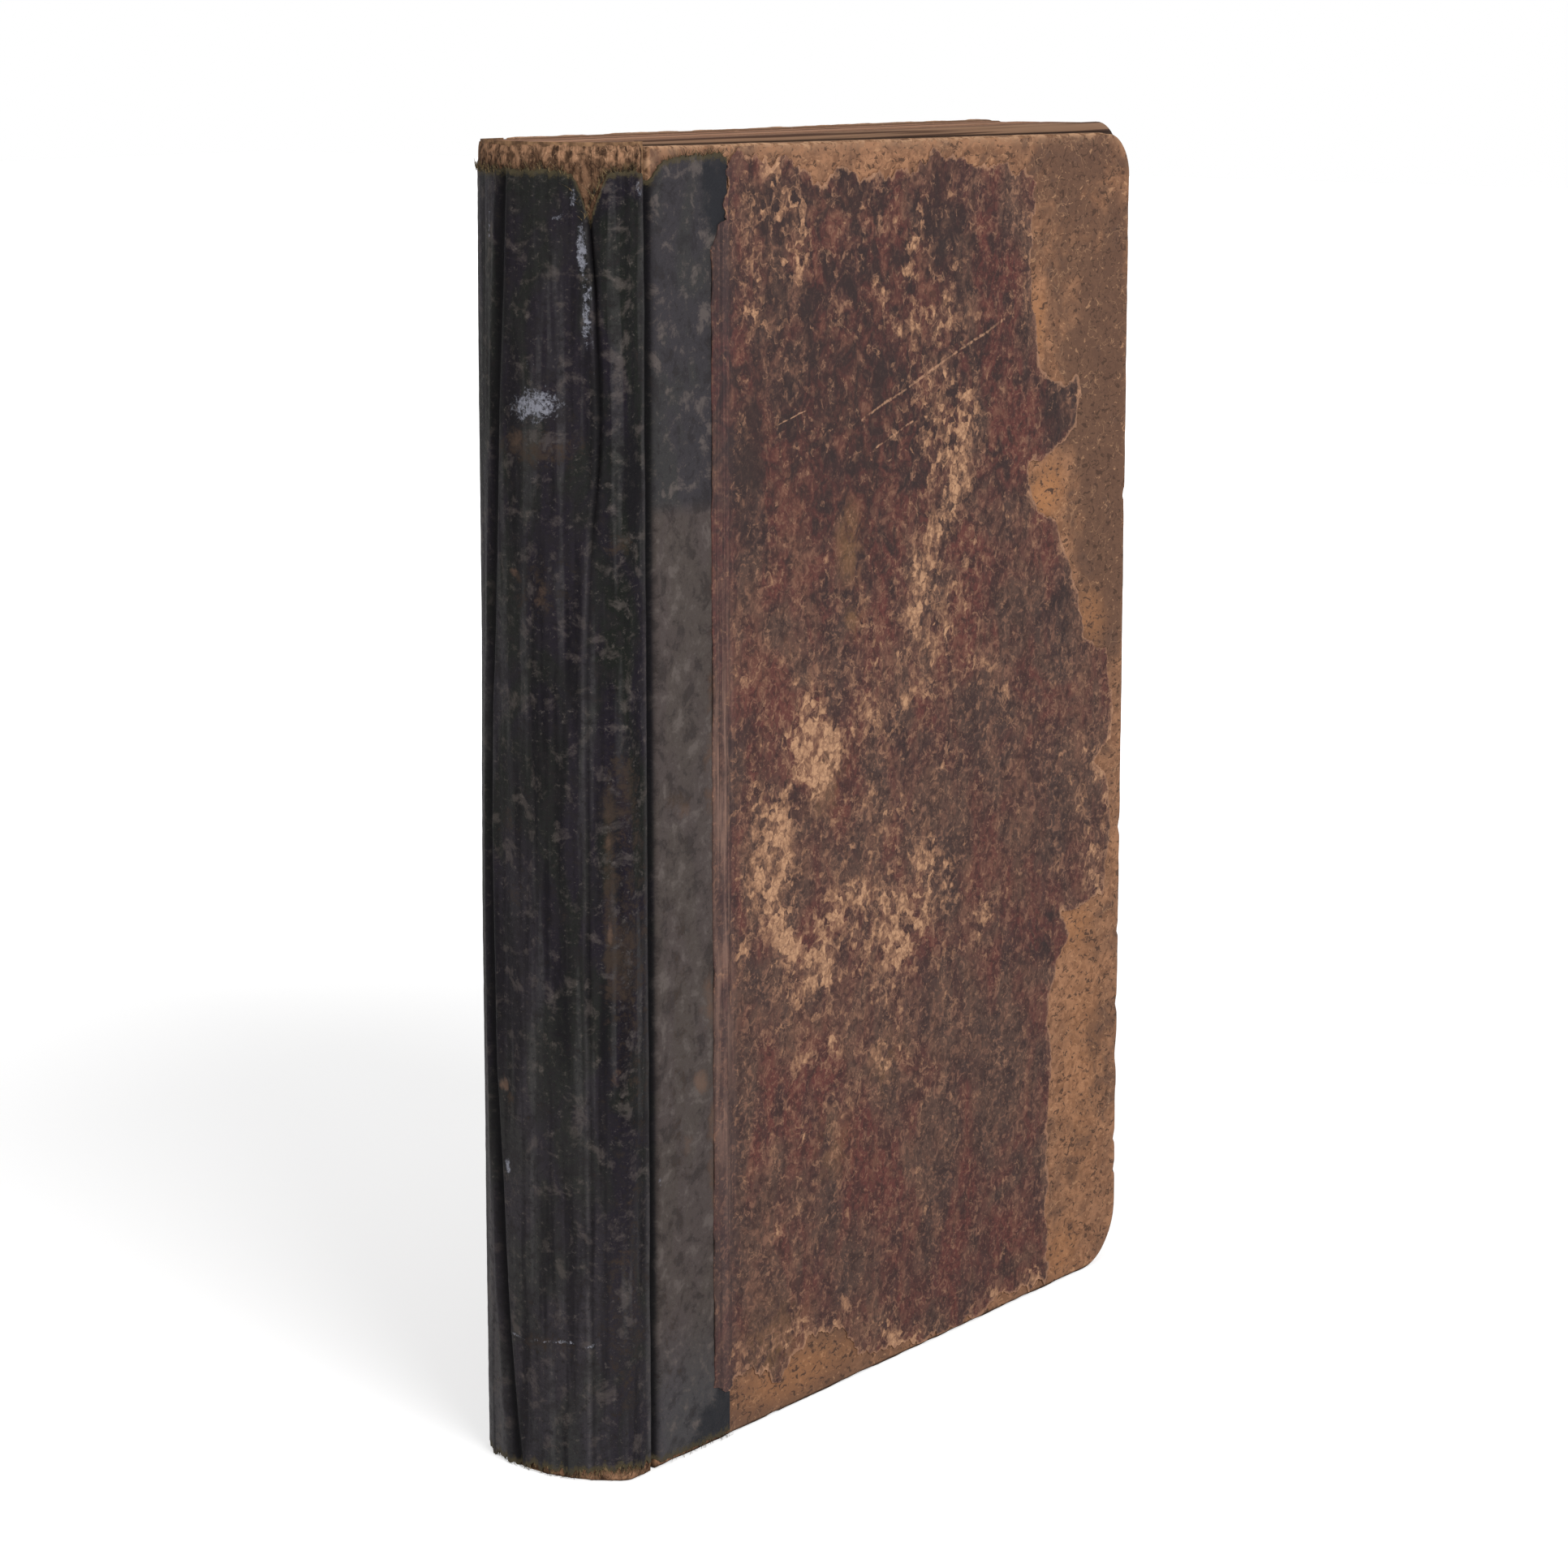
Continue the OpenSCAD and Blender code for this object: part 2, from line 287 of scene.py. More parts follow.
def side_paper_look():
    """Maroon-brown paper, mottled and scuffed through to its tan fibres in small flecks."""
    look = material("side_paper")
    zone = look.noise((0.05, 0.05, 0.034), 4, 0.62, 0.8)
    shade = look.noise((0.07, 0.07, 0.052), 4, 0.64, 0.8)
    mottle = look.noise((0.18, 0.18, 0.15), 3, 0.62, 0.8)
    fleck = look.noise((0.44, 0.44, 0.44), 2.5, 0.62, 1.0)
    fibre = look.noise((1.0, 1.0, 1.1), 2, 0.6, 0.5)
    streak = look.noise((0.5, 0.5, 0.05), 3, 0.6)
    bloom = look.noise((0.13, 0.13, 0.11), 5, 0.7, 0.8)
    flakes = look.warp((0.5, 0.5, 0.46), 1.5)
    flake = look.node("ShaderNodeTexVoronoi", {"Vector": flakes, "Scale": 1.0}, "Color")
    cracks = look.cells(flakes)
    hooks = look.cells(look.warp((0.18, 0.18, 0.17), 2.4))

    red = look.step(look.add(("red", 0.3), (zone, 1.2), (mottle, 0.3)), 0.66, 0.95)
    look.base = look.mix(red, (84, 65, 58), (93, 56, 52))
    look.veils([
        (shade, 0.5, 0.64, 0.6, (62, 51, 50)),
        (shade, 0.46, 0.34, 0.35, (108, 78, 64)),
        (mottle, 0.49, 0.62, 0.58, (58, 45, 44)),
        (mottle, 0.46, 0.34, 0.42, (116, 82, 68)),
        (fleck, 0.52, 0.63, 0.55, (54, 41, 40)),
        (fleck, 0.45, 0.34, 0.55, (132, 96, 79)),
        (streak, 0.53, 0.66, 0.2, (60, 46, 44)),
        (fibre, 0.56, 0.67, 0.4, (134, 100, 83)),
    ])
    patch = look.step(look.add(("dark", 0.55), (mottle, 1.0)), 0.62, 1.0)
    look.veil(patch, 0.8, (50, 42, 42))
    ochre = look.times("ochre", look.step(mottle, 0.62, 0.4))
    look.veil(ochre, 0.9, (124, 92, 62))
    look.veil("fold", 0.35, (82, 69, 71))
    rubbed = look.times("pale", look.step(streak, 0.6, 0.36))
    look.veil(rubbed, 0.85, (134, 106, 94))
    lines = look.noise((0.8, 0.8, 0.006), 4, 0.7)
    ribs = look.times(look.step(lines, 0.48, 0.6), "fold")
    look.veil(ribs, 0.8, (46, 38, 40))

    worn = look.add(("wear", 0.5), ("torn", 0.14), (flake, 0.62), (bloom, 1.2), (fleck, -0.5),
                    ("fold", -0.25))
    look.veil(look.step(worn, 0.78, 1.04), 0.35, (122, 90, 74))
    hook = look.times(look.step(hooks, 0.06, 0.01), look.step(worn, 0.76, 0.94))
    look.veil(hook, 0.45, (160, 122, 98))
    scuff = look.step(worn, 0.95, 1.2)
    scuff = look.times(scuff, look.add((look.step(cracks, 0.02, 0.14), 0.4), (1.0, 0.6)))
    tan = look.mix(look.step(worn, 1.0, 1.34), (140, 104, 82), (182, 141, 110))
    tan = look.mix(look.times(look.step(fleck, 0.5, 0.64), 0.5), tan, (126, 92, 72))
    tan = look.mix(look.times(look.step(fibre, 0.5, 0.62), 0.4), tan, (128, 95, 75))
    look.base = look.mix(scuff, look.base, tan)
    fringe = look.step(look.add(("torn", 1.0), (fleck, 0.9), (bloom, 1.3)), 1.85, 2.1)
    look.veil(fringe, 0.6, (166, 126, 100))
    scratch = look.step(look.add(("scratch", 1.0), (fleck, -1.3)), 0.1, 0.5)
    look.veil(scratch, 0.72, (178, 138, 110))

    height = look.add((scuff, -0.5), (fleck, -0.4), (fibre, 0.25), (streak, 0.2), (ribs, -0.6))
    return look.done(look.add((fleck, 0.3), (1.0, 0.55)), height, 0.2, 0.06)


def millboard_look():
    """Bare tan board: fibrous, blotched with grime, specked and scratched, with a painted shadow line along
    its tail edge.
    """
    look = material("millboard")
    fibre = look.noise((0.36, 0.36, 0.46), 3, 0.65, 0.8)
    cloud = look.noise((0.08, 0.08, 0.1), 4, 0.64, 0.7)
    speck = look.noise((0.5, 0.5, 0.74), 2, 0.6, 0.9)
    layer = look.noise((0.06, 3.2, 0.06), 3, 0.6)
    curls = look.cells(look.warp((0.08, 0.08, 0.1), 2.4))
    look.base = look.mix(look.step(fibre, 0.37, 0.61), (120, 86, 66), (158, 116, 88))
    grime = look.step(look.add(("grime", 0.45), (cloud, 1.2), (fibre, 0.35)), 0.66, 1.06)
    look.veil(grime, 0.85, (92, 69, 58))
    look.veil(look.step(cloud, 0.56, 0.68), 0.45, (90, 70, 62))
    curl = look.times(look.step(curls, 0.02, 0.0), look.step(cloud, 0.44, 0.54))
    look.veil(curl, 0.35, (178, 138, 106))
    look.veils([
        (speck, 0.575, 0.645, 0.8, (70, 53, 45)),
        (speck, 0.37, 0.3, 0.5, (184, 142, 108)),
    ])
    fresh = look.times("fresh", look.step(speck, 0.64, 0.5))
    look.veil(fresh, 0.9, (166, 116, 78))
    edge = look.mix(look.step(layer, 0.4, 0.6), (92, 66, 49), (144, 106, 77))
    look.veil("rim", 0.6, edge)
    look.veil("rub", look.step(fibre, 0.62, 0.4), (192, 152, 120))
    # Painted shadow: a near-black line along the bottom of the tail edge, where the board meets the floor.
    look.veil("foot", 0.92, (22, 15, 12))
    height = look.add((fibre, 0.6), (speck, -0.5), (look.times(layer, "rim"), 0.7))
    return look.done(0.85, height, 0.3, 0.07)


def book_cloth_look():
    """Black filled cloth, faded on the boards, wrinkled and rubbed on the back, with painted shade in its
    grooves, crack and fold and a painted highlight beside the front groove.
    """
    look = material("book_cloth", "cloth")
    wrinkle = look.noise((0.24, 0.014, 0.0), 2.5, 0.6)
    cloud = look.noise((0.17, 0.17, 0.0), 6, 0.68, 0.3)
    grain = look.noise((0.6, 0.6, 0.0), 6, 0.76, 0.2)
    dust = look.noise((1.6, 1.3, 0.0), 3, 0.7)
    hue = look.noise((0.07, 0.03, 0.0), 3, 0.6, 0.8)
    spine = look.math("SUBTRACT", 1.0, "lap")
    fade = look.add(("fade", 1.0), (cloud, 0.7), (grain, 0.5), (1.0, -0.6))
    pale = look.mix("cool", (92, 82, 78), (84, 81, 83))
    black = look.mix(look.step(hue, 0.42, 0.58), (24, 20, 28), (22, 24, 21))
    look.base = look.mix(look.step(fade, 0.0, 1.1), black, pale)
    look.veil(look.times(look.step(wrinkle, 0.5, 0.62), spine), 0.6, (13, 11, 15))
    look.veil(look.times(look.step(wrinkle, 0.46, 0.34), spine), 0.28, (80, 78, 78))
    look.veil(look.step(grain, 0.5, 0.64), look.add((spine, 0.3), (1.0, 0.3)), (17, 15, 16))
    look.veils([
        (grain, 0.45, 0.32, 0.35, (108, 100, 95)),
        (cloud, 0.49, 0.62, 0.56, (28, 25, 27)),
    ])
    look.veil(look.step(cloud, 0.48, 0.34), look.add(("lap", 0.3), (1.0, 0.32)), (102, 93, 89))
    blackened = look.step(look.add(("dark", 0.6), (cloud, 0.9), (wrinkle, 0.6)), 0.95, 1.3)
    look.veil(blackened, 0.7, (16, 14, 18))
    stain = look.step(look.add(("rust", 0.5), (cloud, 1.0)), 0.7, 1.05)
    look.veil(stain, 0.6, (112, 88, 74))
    brown = look.step(look.add(("brown", 0.55), (cloud, 1.6), (grain, 1.5)), 1.75, 2.25)
    look.veil(brown, 0.5, (70, 57, 47))
    covered = look.step(look.add(("fresh", 0.9), (cloud, 1.2), (grain, 0.6)), 1.0, 1.6)
    look.veil(covered, 0.85, (36, 37, 41))
    look.veil(look.step(dust, 0.64, 0.76), 0.4, (116, 110, 104))
    worn = look.add(("wear", 0.72), (grain, 1.4), (dust, 0.5))
    look.veil(look.step(worn, 1.3, 1.6), 0.75, (140, 141, 151))
    # Painted shade: near-black in the joint grooves, the crack and the rear fold, where shade falls.
    look.base = look.mix("crease_shade", look.base, (9, 8, 10))
    fray = look.step(look.add(("edge", -0.4), (grain, 1.8), (dust, 0.8)), 0.6, 1.2)
    look.veil(fray, 0.75, (74, 66, 48))
    height = look.add((grain, 0.8), (dust, 0.3), (wrinkle, 1.2), (cloud, 0.8))
    return look.done(look.add((grain, 0.3), (1.0, 0.5)), height, 0.3, 0.05)


def lining_look():
    look = material("lining_paper", "cloth")
    ridge_light_and_tone = look.noise((0.44, 0.12, 0.0), 3, 0.62, 0.7)
    fibre = look.noise((0.7, 0.5, 0.0), 3, 0.62, 0.8)
    fine = look.noise((1.5, 0.9, 0.0), 3, 0.65, 0.5)
    # The colour follows the relief: lighter on raised fibres as a painted highlight, darker in the hollows as
    # painted shade, over the paper's own varied tone.
    tone = look.add((ridge_light_and_tone, 1.0), (fibre, 0.7))
    look.base = look.mix(look.step(tone, 0.66, 1.02), (54, 39, 30), (150, 113, 87))
    # Painted highlight on the finest raised fibres.
    look.veil(look.step(fine, 0.54, 0.72), 0.5, (190, 152, 120))
    # Painted shade in the hollows between the fibres and a painted shadow line at the tail, from the dark
    # field that lining_piece sets.
    look.base = look.mix("dark", look.base, (40, 28, 21))
    height = look.add((fibre, 0.8), (fine, 0.5), (ridge_light_and_tone, 1.5))
    return look.done(0.9, height, 0.5, 0.05)


def page_look():
    look = material("pages")
    dust = look.noise((0.08, 0.5, 0.05), 4, 0.65)
    fine = look.noise((0.5, 6.0, 0.5), 3, 0.6)
    look.base = look.mix("leaf", (70, 49, 39), (172, 134, 110))
    look.veils([
        (dust, 0.5, 0.75, 0.5, (84, 62, 51)),
        (fine, 0.52, 0.75, 0.35, (176, 142, 116)),
    ])
    return look.done(0.88, fine, 0.1, 0.08)


def endpaper_look(name, space, lines=0.0):
    """Aged paper, browned towards its edges; lines sets the strength of brown streaks above the worn front
    board's head and of a painted shadow line along it.
    """
    look = material(name, space)
    spot = look.place((1.0, 1.0, 1.0))
    fox = look.noise((0.12, 1.3, 0.12), 6, 0.72)
    cloud = look.noise((0.016, 1.3, 0.02), 5, 0.6)
    fibre = look.noise((2.0, 2.0, 2.0), 3, 0.6)
    look.base = look.mix(look.step(cloud, 0.3, 0.7), (200, 180, 146), (188, 163, 127))
    look.veil(look.step(fox, 0.62, 0.78), 0.6, (138, 98, 62))
    look.veil(fibre, 0.25, (170, 146, 112))
    ends = look.math("MAXIMUM", look.beyond(spot, "Z", BOOK_H - 7, BOOK_H - 3), look.beyond(spot, "Z", 6, 2))
    edges = look.math("MAXIMUM", ends, look.beyond(spot, "X", FORE_X - 5, FORE_X - 1))
    look.veil(edges, 0.85, (122, 90, 73))
    slope = (HEAD_LOSS_FORE - HEAD_LOSS_JOINT) / BOARD_W
    lean = {0: spot, 1: (slope, 0.0, 1.0)}
    rise = look.node("ShaderNodeVectorMath", lean, "Value", operation="DOT_PRODUCT")
    level = FRONT_HEAD + slope * BOARD_X
    # Brown streaks on the strip that shows above the front board's worn head.
    layer = look.noise((0.008, 0.0, 0.9), 2, 0.6)
    above = look.times(look.step(rise, level - 0.5, level), look.step(layer, 0.46, 0.58))
    look.veil(above, lines, (64, 44, 36))
    # Painted shadow: a dark band along the front board's worn head, where the gap between board and flyleaf
    # lies in shade.
    painted_gap_shadow = look.times(look.step(rise, level + 0.6, level + 0.2), look.step(rise, level - 3, level - 1))
    look.veil(painted_gap_shadow, lines, (40, 27, 21))
    return look.done(0.8, fibre, 0.05, 0.15)


def woven_look(name, dark, pale, pitch):
    """Plain woven cloth of a solid hidden under the spine."""
    look = material(name, None)
    warp = look.noise((1 / pitch, 1 / pitch, 0.3), 2, 0.5)
    weft = look.noise((0.3, 0.3, 1 / pitch), 2, 0.5)
    weave = look.add((warp, 0.5), (weft, 0.5))
    look.base = look.mix(look.step(weave, 0.35, 0.65), dark, pale)
    return look.done(0.9, weave, 0.2, 0.1)


# Objects
def add_object(name, data):
    made = bpy.data.objects.new(name, data)
    bpy.context.scene.collection.objects.link(made)
    return made


def piece(name, verts, faces, mat, fields=None, sharp=50):
    """A new object from vertices in millimetres, with its resting place and other fields on its points."""
    mesh = bpy.data.meshes.new(name)
    verts = np.asarray(verts, float)
    mesh.from_pydata((verts * MM).tolist(), [], faces)
    mesh.validate()
    for key, values in {"rest": verts, **(fields or {})}.items():
        values = np.asarray(values, float)
        flat = values.ndim == 1
        made = mesh.attributes.new(key, "FLOAT" if flat else "FLOAT_VECTOR", "POINT")
        made.data.foreach_set("value" if flat else "vector", values.ravel())
    mesh.shade_smooth()
    mesh.set_sharp_from_angle(angle=math.radians(sharp))
    mesh.materials.append(mat)
    return add_object(name, mesh)


def strips(rows, columns, start=0, close=False, flip=False):
    """Quads of a grid of points stored row by row."""
    i = np.arange(rows - 1)[:, None] * columns + start
    j = np.arange(columns if close else columns - 1)
    k = (j + 1) % columns
    quads = joined(i + j, i + k, i + columns + k, i + columns + j).reshape(-1, 4)
    return quads[:, ::-1].tolist() if flip else quads.tolist()


def sheet_piece(name, outer, inner, mat, fields):
    """A closed sheet between two grids of points, with fields given on the outer grid."""
    rows, columns = outer.shape[:2]
    count = rows * columns
    index = np.arange(count).reshape(rows, columns)
    border = np.concatenate([index[0, :-1], index[:-1, -1], index[-1, :0:-1], index[:0:-1, 0]])
    after = np.roll(border, -1)
    rim = joined(after, border, border + count, after + count).tolist()
    faces = strips(rows, columns) + strips(rows, columns, count, flip=True) + rim
    verts = np.concatenate([outer.reshape(-1, 3), inner.reshape(-1, 3)])
    both = {key: np.concatenate([grid.reshape(-1, *grid.shape[2:])] * 2) for key, grid in fields.items()}
    return piece(name, verts, faces, mat, both)


def back_path(s):
    """Point and outward normal of the cloth's face, in plan, at a length s along the rounded back."""
    s = np.asarray(s, float)
    turn = np.clip((s - S_ROUND) / SHOULDER_R, 0, ROUND_TURN)
    arc = np.clip((s - S_ARC) / BACK_R, 0, 2 * ARC_HALF)
    angle = turn + arc + np.clip((s - S_ARC_END) / SHOULDER_R, 0, ROUND_TURN)
    nx, ny = -np.sin(angle), -np.cos(angle)
    front = s < S_ARC
    rear = s > S_ARC_END
    cx = np.where(front | rear, ROUND_X, ARC_X)
    cy = np.where(front, -ROUND_Y, np.where(rear, ROUND_Y, 0.0))
    radius = np.where(front | rear, SHOULDER_R, BACK_R)
    x = cx + radius * nx + np.where(s < S_ROUND, S_ROUND - s, 0) + np.where(s > S_FLAT, s - S_FLAT, 0)
    return x, cy + radius * ny, nx, ny


def on_back(s, h, z):
    """Points at lengths s along the rounded back, at a height h above the cloth's even face."""
    x, y, nx, ny = back_path(s)
    return joined(x + nx * h, y + ny * h, z)


def tail_corner(x, z, r, turn):
    """Quarter round inside the corner of the fore-edge and the tail."""
    return joined(x - r + r * np.sin(turn), z + r - r * np.cos(turn))


def head_corner(x, z, r, turn):
    """Quarter round inside the corner of the fore-edge and the head."""
    return joined(x - r + r * np.cos(turn), z - r + r * np.sin(turn))


def front_head(x):
    """Height of the front board's worn head."""
    return FRONT_HEAD - (HEAD_LOSS_FORE - HEAD_LOSS_JOINT) * (x - BOARD_X) / BOARD_W


# Cloth
CRACK = [
    (0, 17.0), (190, 17.0), (216, 15.6), (232, 13.9), (242, 13.6), (270, 14.4), (285, 15.5), (302, 15.7),
]
REAR_FOLD = [
    (0, 37.5), (12, 39.0), (40, 41.8), (70, 43.6), (95, 45.2), (150, 46.4), (177, 46.0), (215, 43.4),
    (255, 40.8), (302, 37.5),
]
# Heights between which the crack opens
GAPE = (205, 250)


def cloth_lines(s, z):
    """Distances along s from the front groove, the rear groove, the crack and the rear fold."""
    wander = 0.2 * rough(z / 14, 3, 5, 3)
    crack = np.interp(z, *zip(*CRACK)) + wander * fall(z, 190, 230)
    fold = np.interp(z, *zip(*REAR_FOLD))
    return s + 0.2 - wander, s - S_END - 0.2, s - crack, s - fold


def ridge(distance, width):
    return np.exp(-((distance / width) ** 2))


def crack_width(z):
    """Half width of the crack, which gapes most a little below the head."""
    return 0.45 + 0.45 * ridge(z - 250, 11)


def crease_line(s):
    """Height of the crease that crosses the back near the tail."""
    return np.interp(s, [17, 39], [32.4, 31.6]) + 0.9 * rough(s / 3, 0, 24, 3)


def cloth_relief(s, z):
    """Height of the cloth above its even face."""
    groove, rear, crack, fold = cloth_lines(s, z)
    gape = ease(z, *GAPE)
    foot = fall(z, 0, 60)
    h = -1.35 * ridge(groove, 1.15) - 1.0 * ridge(rear, 1.0)
    h += 0.3 * ridge(groove - 2.5, 0.7) + 0.15 * ridge(groove + 2.6, 0.9)
    h += -(0.2 + 0.55 * gape) * ridge(crack, crack_width(z)) + (0.16 + 0.3 * gape) * ridge(crack - 1.1, 0.6)
    h += -1.0 * ridge(fold, 1.3 + 0.5 * foot) + 0.45 * ridge(fold + 2.6, 1.2) + 0.35 * ridge(fold - 2.6, 1.3)
    over_back = ease(s, 12, 20) * fall(s, 46, 54)
    h += over_back * (0.5 * rough(s / 4.5, z / 110, 21, 3) + 0.2 * rough(s / 1.8, z / 50, 22, 2))
    h += 0.12 * ease(s, 1, 4) * rough(s / 4, z / 55, 23, 3)
    h += 0.3 * ridge(z - crease_line(s), 0.6) * ease(s, 16, 19) * fall(s, 37, 41)
    return h + 0.05 * rough(s / 1.5, z / 1.5, 25, 2)


def cloth_fields(s, z, low, high):
    """Where the cloth is faded, rubbed and stained, for its material, with painted shade in the grooves,
    crack and fold and a painted highlight beside the front groove.
    """
    groove, rear, crack, fold = cloth_lines(s, z)
    edge = np.minimum(z - low, high - z)
    lap = 1 - ease(s, -1.6, -0.6) * fall(s, S_END + 0.6, S_END + 1.6)
    bluish = ease(z - 0.06 * s, 220, 224) * (s < SEAM)
    fade = lap * (0.64 - 0.18 * bluish)
    fade += (1 - lap) * (0.18 + 0.2 * fall(z, 20, 130) - 0.12 * fall(s, 11, 16))
    # Painted highlight: a pale line on the raised strip along the spine's side of the front groove; also a
    # pale line along the raised edge of the crack.
    fade += 0.35 * (1 - lap) * ridge(groove - 2.5, 0.7) + 0.22 * (1 - lap) * ridge(crack - 0.9, 0.5)
    fade += (0.12 + 0.2 * fall(z, 60, 160)) * ease(fold, 2, 5) * (1 - lap)
    protected = ease(z, 274, 286) * fall(s, -25, -15)
    protected = np.maximum(protected, fall(z + 0.5 * s, -6, 6) * fall(s, -20, -8))
    wear = spots(s, z, [
        (28.8, 245, 8.5, 4.4, 0.8, -8), (38, 280, 0.9, 4.0, 0.75, 14), (22.5, 286, 2.4, 0.9, 0.6, -10),
        (44, 283, 0.9, 6, 0.55), (31, 253, 4, 3, 0.35), (43.5, 106, 1.3, 1.3, 0.8),
        (19.4, 290, 1.3, 3.0, 0.55, 10), (17.4, 279, 1.4, 7, 0.85), (3, 292, 1.6, 2.5, 0.6),
        (16.4, 264, 1.3, 8, 0.75), (16.2, 233, 1.2, 1.6, 0.5), (39.8, 71, 1.0, 2.6, 0.9),
        (-4, 240, 4, 1.0, 0.4, 20), (-2.2, 68, 0.8, 1.4, 0.8),
    ])
    wear += 0.4 * ridge(crack - 0.9, 0.5) * ease(z, 225, 255) * ease(rough(z / 5, 0, 26, 2), -0.4, 0.3)
    broken = ease(rough(s / 4, 2, 27, 2), -0.7, 0.0)
    wear += 0.72 * broken * ridge(z - crease_line(s), 0.5) * ease(s, 14, 18) * fall(s, 37, 41)
    brown = spots(s, z, [
        (29, 236, 13, 4.0, 1.0), (12.5, 140, 1.4, 26, 0.9), (10, 122, 3, 8, 0.9), (7, 120, 6, 50, 0.6),
        (39, 87, 2, 2, 1.0), (39, 150, 4, 4, 0.6), (9, 215, 4, 3, 0.9), (-9, 155, 6, 2.5, 0.8, 20),
        (-10, 100, 5, 45, 0.45), (36, 135, 4, 3, 0.6), (9, 40, 6, 25, 0.6), (30, 205, 9, 8, 0.5),
        (9, 160, 4, 10, 0.5), (-6, 30, 6, 16, 0.35), (27, 31, 9, 2.5, 0.6),
    ])
    rust = spots(s, z, [
        (-24, 160, 6, 40, 0.7), (-17, 88, 3, 4, 1.0), (-24, 70, 5, 25, 0.8), (-20, 106, 4, 8, 0.7),
        (-13, 75, 3, 4, 0.7), (-24, 210, 4, 8, 0.5), (-12, 152, 5, 2.5, 0.7, 20), (41, 90, 1.8, 1.8, 1.3),
        (10, 60, 5, 12, 0.4), (11, 95, 2, 4, 0.6), (36, 208, 2, 2, 0.7), (29, 203, 4, 4, 0.5),
        (12.3, 128, 0.8, 4, 0.9), (12.6, 148, 0.7, 8, 0.7), (9.5, 150, 2, 6, 0.5), (33, 237, 6, 3, 0.5),
        (24, 236, 4, 3.5, 0.5),
    ])
    dark = spots(s, z, [
        (6.5, 231, 5, 13, 0.9), (17, 264, 2, 34, 0.7), (27, 133, 1.3, 22, 0.8), (24, 110, 2.5, 18, 0.7),
        (13.5, 106, 1.8, 18, 0.8), (6.5, 84.5, 5, 3, 0.8), (21.5, 193, 0.9, 17, 0.8),
    ])
    fade += spots(s, z, [(36, 105, 7, 50, 0.16)])
    # Painted shade in the two grooves, the rear fold and the open crack.
    crease_shade = 0.95 * ridge(groove, 1.35) + 0.9 * ridge(rear, 1.2) + 0.97 * ridge(fold, 1.7)
    crease_shade += (0.35 + 0.6 * ease(z, *GAPE)) * ridge(crack, crack_width(z))
    return {
        "cloth": joined(s, z, edge), "fade": np.clip(fade, 0, 1), "fresh": protected, "lap": lap,
        "cool": np.maximum(np.maximum(bluish, fall(z, 10, 40)), 0.85 * (1 - lap)),
        "wear": np.clip(wear, 0, 1), "brown": np.clip(brown, 0, 1), "edge": np.clip(edge, 0, 4),
        "crease_shade": np.clip(crease_shade, 0, 0.97), "rust": np.clip(rust, 0, 1.2), "dark": np.clip(dark, 0, 1),
    }


def cloth_piece(name, s_from, s_to, low_points, high_points, mat):
    """Cloth from s_from to s_to along the rounded back and on to a board, ragged at the tail and head."""
    s0 = np.linspace(s_from, s_to, int((s_to - s_from) / 0.4) + 1)
    share = stepped([0, 0.02, 0.09, 0.115, 0.93, 1], [8, 10, 22, 136, 34])
    torn = 0.5 * rough(s0 / 1.6, 0, 31, 3) + 0.4 * rough(s0 / 0.45, 9, 32, 2)
    frayed = torn * (1 + 1.4 * ease(s0, 0, 4))
    low = np.maximum(np.interp(s0, *zip(*low_points)) - frayed, 0.1)
    high = np.interp(s0, *zip(*high_points)) + torn
    z = low + share[:, None] * (high - low)
    near = np.where(s0 < SEAM, ease(s0, SEAM - 9, SEAM), fall(s0, SEAM, SEAM + 10))
    s = s0 + near * (np.interp(z, *zip(*CRACK)) - SEAM)
    slack = ease(s, 30, 48) * fall(s, S_FLAT - 2, S_END - 1)
    h = cloth_relief(s, z) + slack * (0.7 * ease(-z, -200, -120) - 0.35 * ease(z, 240, 300))
    h = np.where((s > 1.6) & (s < S_END - 1.6), np.maximum(h, -0.9), h)
    fields = cloth_fields(s, z, low + 0 * z, high + 0 * z)
    made = sheet_piece(name, on_back(s, h, z), on_back(s, h - CLOTH_T, z), mat, fields)
    return made, ((s_to - s_from) * MM, (high.max() - low.min()) * MM), (s0, low, high)


cloth = book_cloth_look()
front_cloth, flat_size, front_edges = cloth_piece(
    "front_cloth", -LAP, SEAM,
    [(-28, 1.3), (-10, 1.3), (-2, 1.6), (0, 2.4), (8, 3.2), (14, 3.0), (17, 2.6)],
    [
        (-28, 297.8), (-26, 298.6), (-12, 298.6), (-6.5, 298.0), (-4, 296.8), (-2.5, 295.2), (-1, 293.8),
        (0.5, 294.2), (3, 295.6), (8, 296.0), (11.5, 295.8), (13, 294.0), (14.5, 291.5), (16, 288),
        (17, 285),
    ],
    cloth,
)
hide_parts("front_lap_cloth", "spine_cloth")
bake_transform(front_cloth)

rear_cloth, flat_size, rear_edges = cloth_piece(
    "rear_cloth", SEAM, S_END + LAP,
    [(17, 2.6), (22, 2.0), (30, 1.3), (40, 0.8), (56, 1.0), (64, 1.4), (92, 1.2)],
    [
        (17, 285), (18.2, 289), (19.4, 293), (20.6, 295.2), (26, 296.2), (36, 296.0), (46, 295.4),
        (56, 296.0), (62, 297), (68, 299.6), (92, 300.2),
    ],
    cloth,
)
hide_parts("back_lap_cloth")
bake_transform(rear_cloth)


# Loose threads
def thread_look():
    look = material("threads")
    tone = look.noise((1.5, 1.5, 0.5), 3, 0.7)
    look.base = look.mix(look.step(tone, 0.4, 0.62), (40, 38, 34), (116, 98, 70))
    return look.done(0.9, tone, 0.05, 0.1)


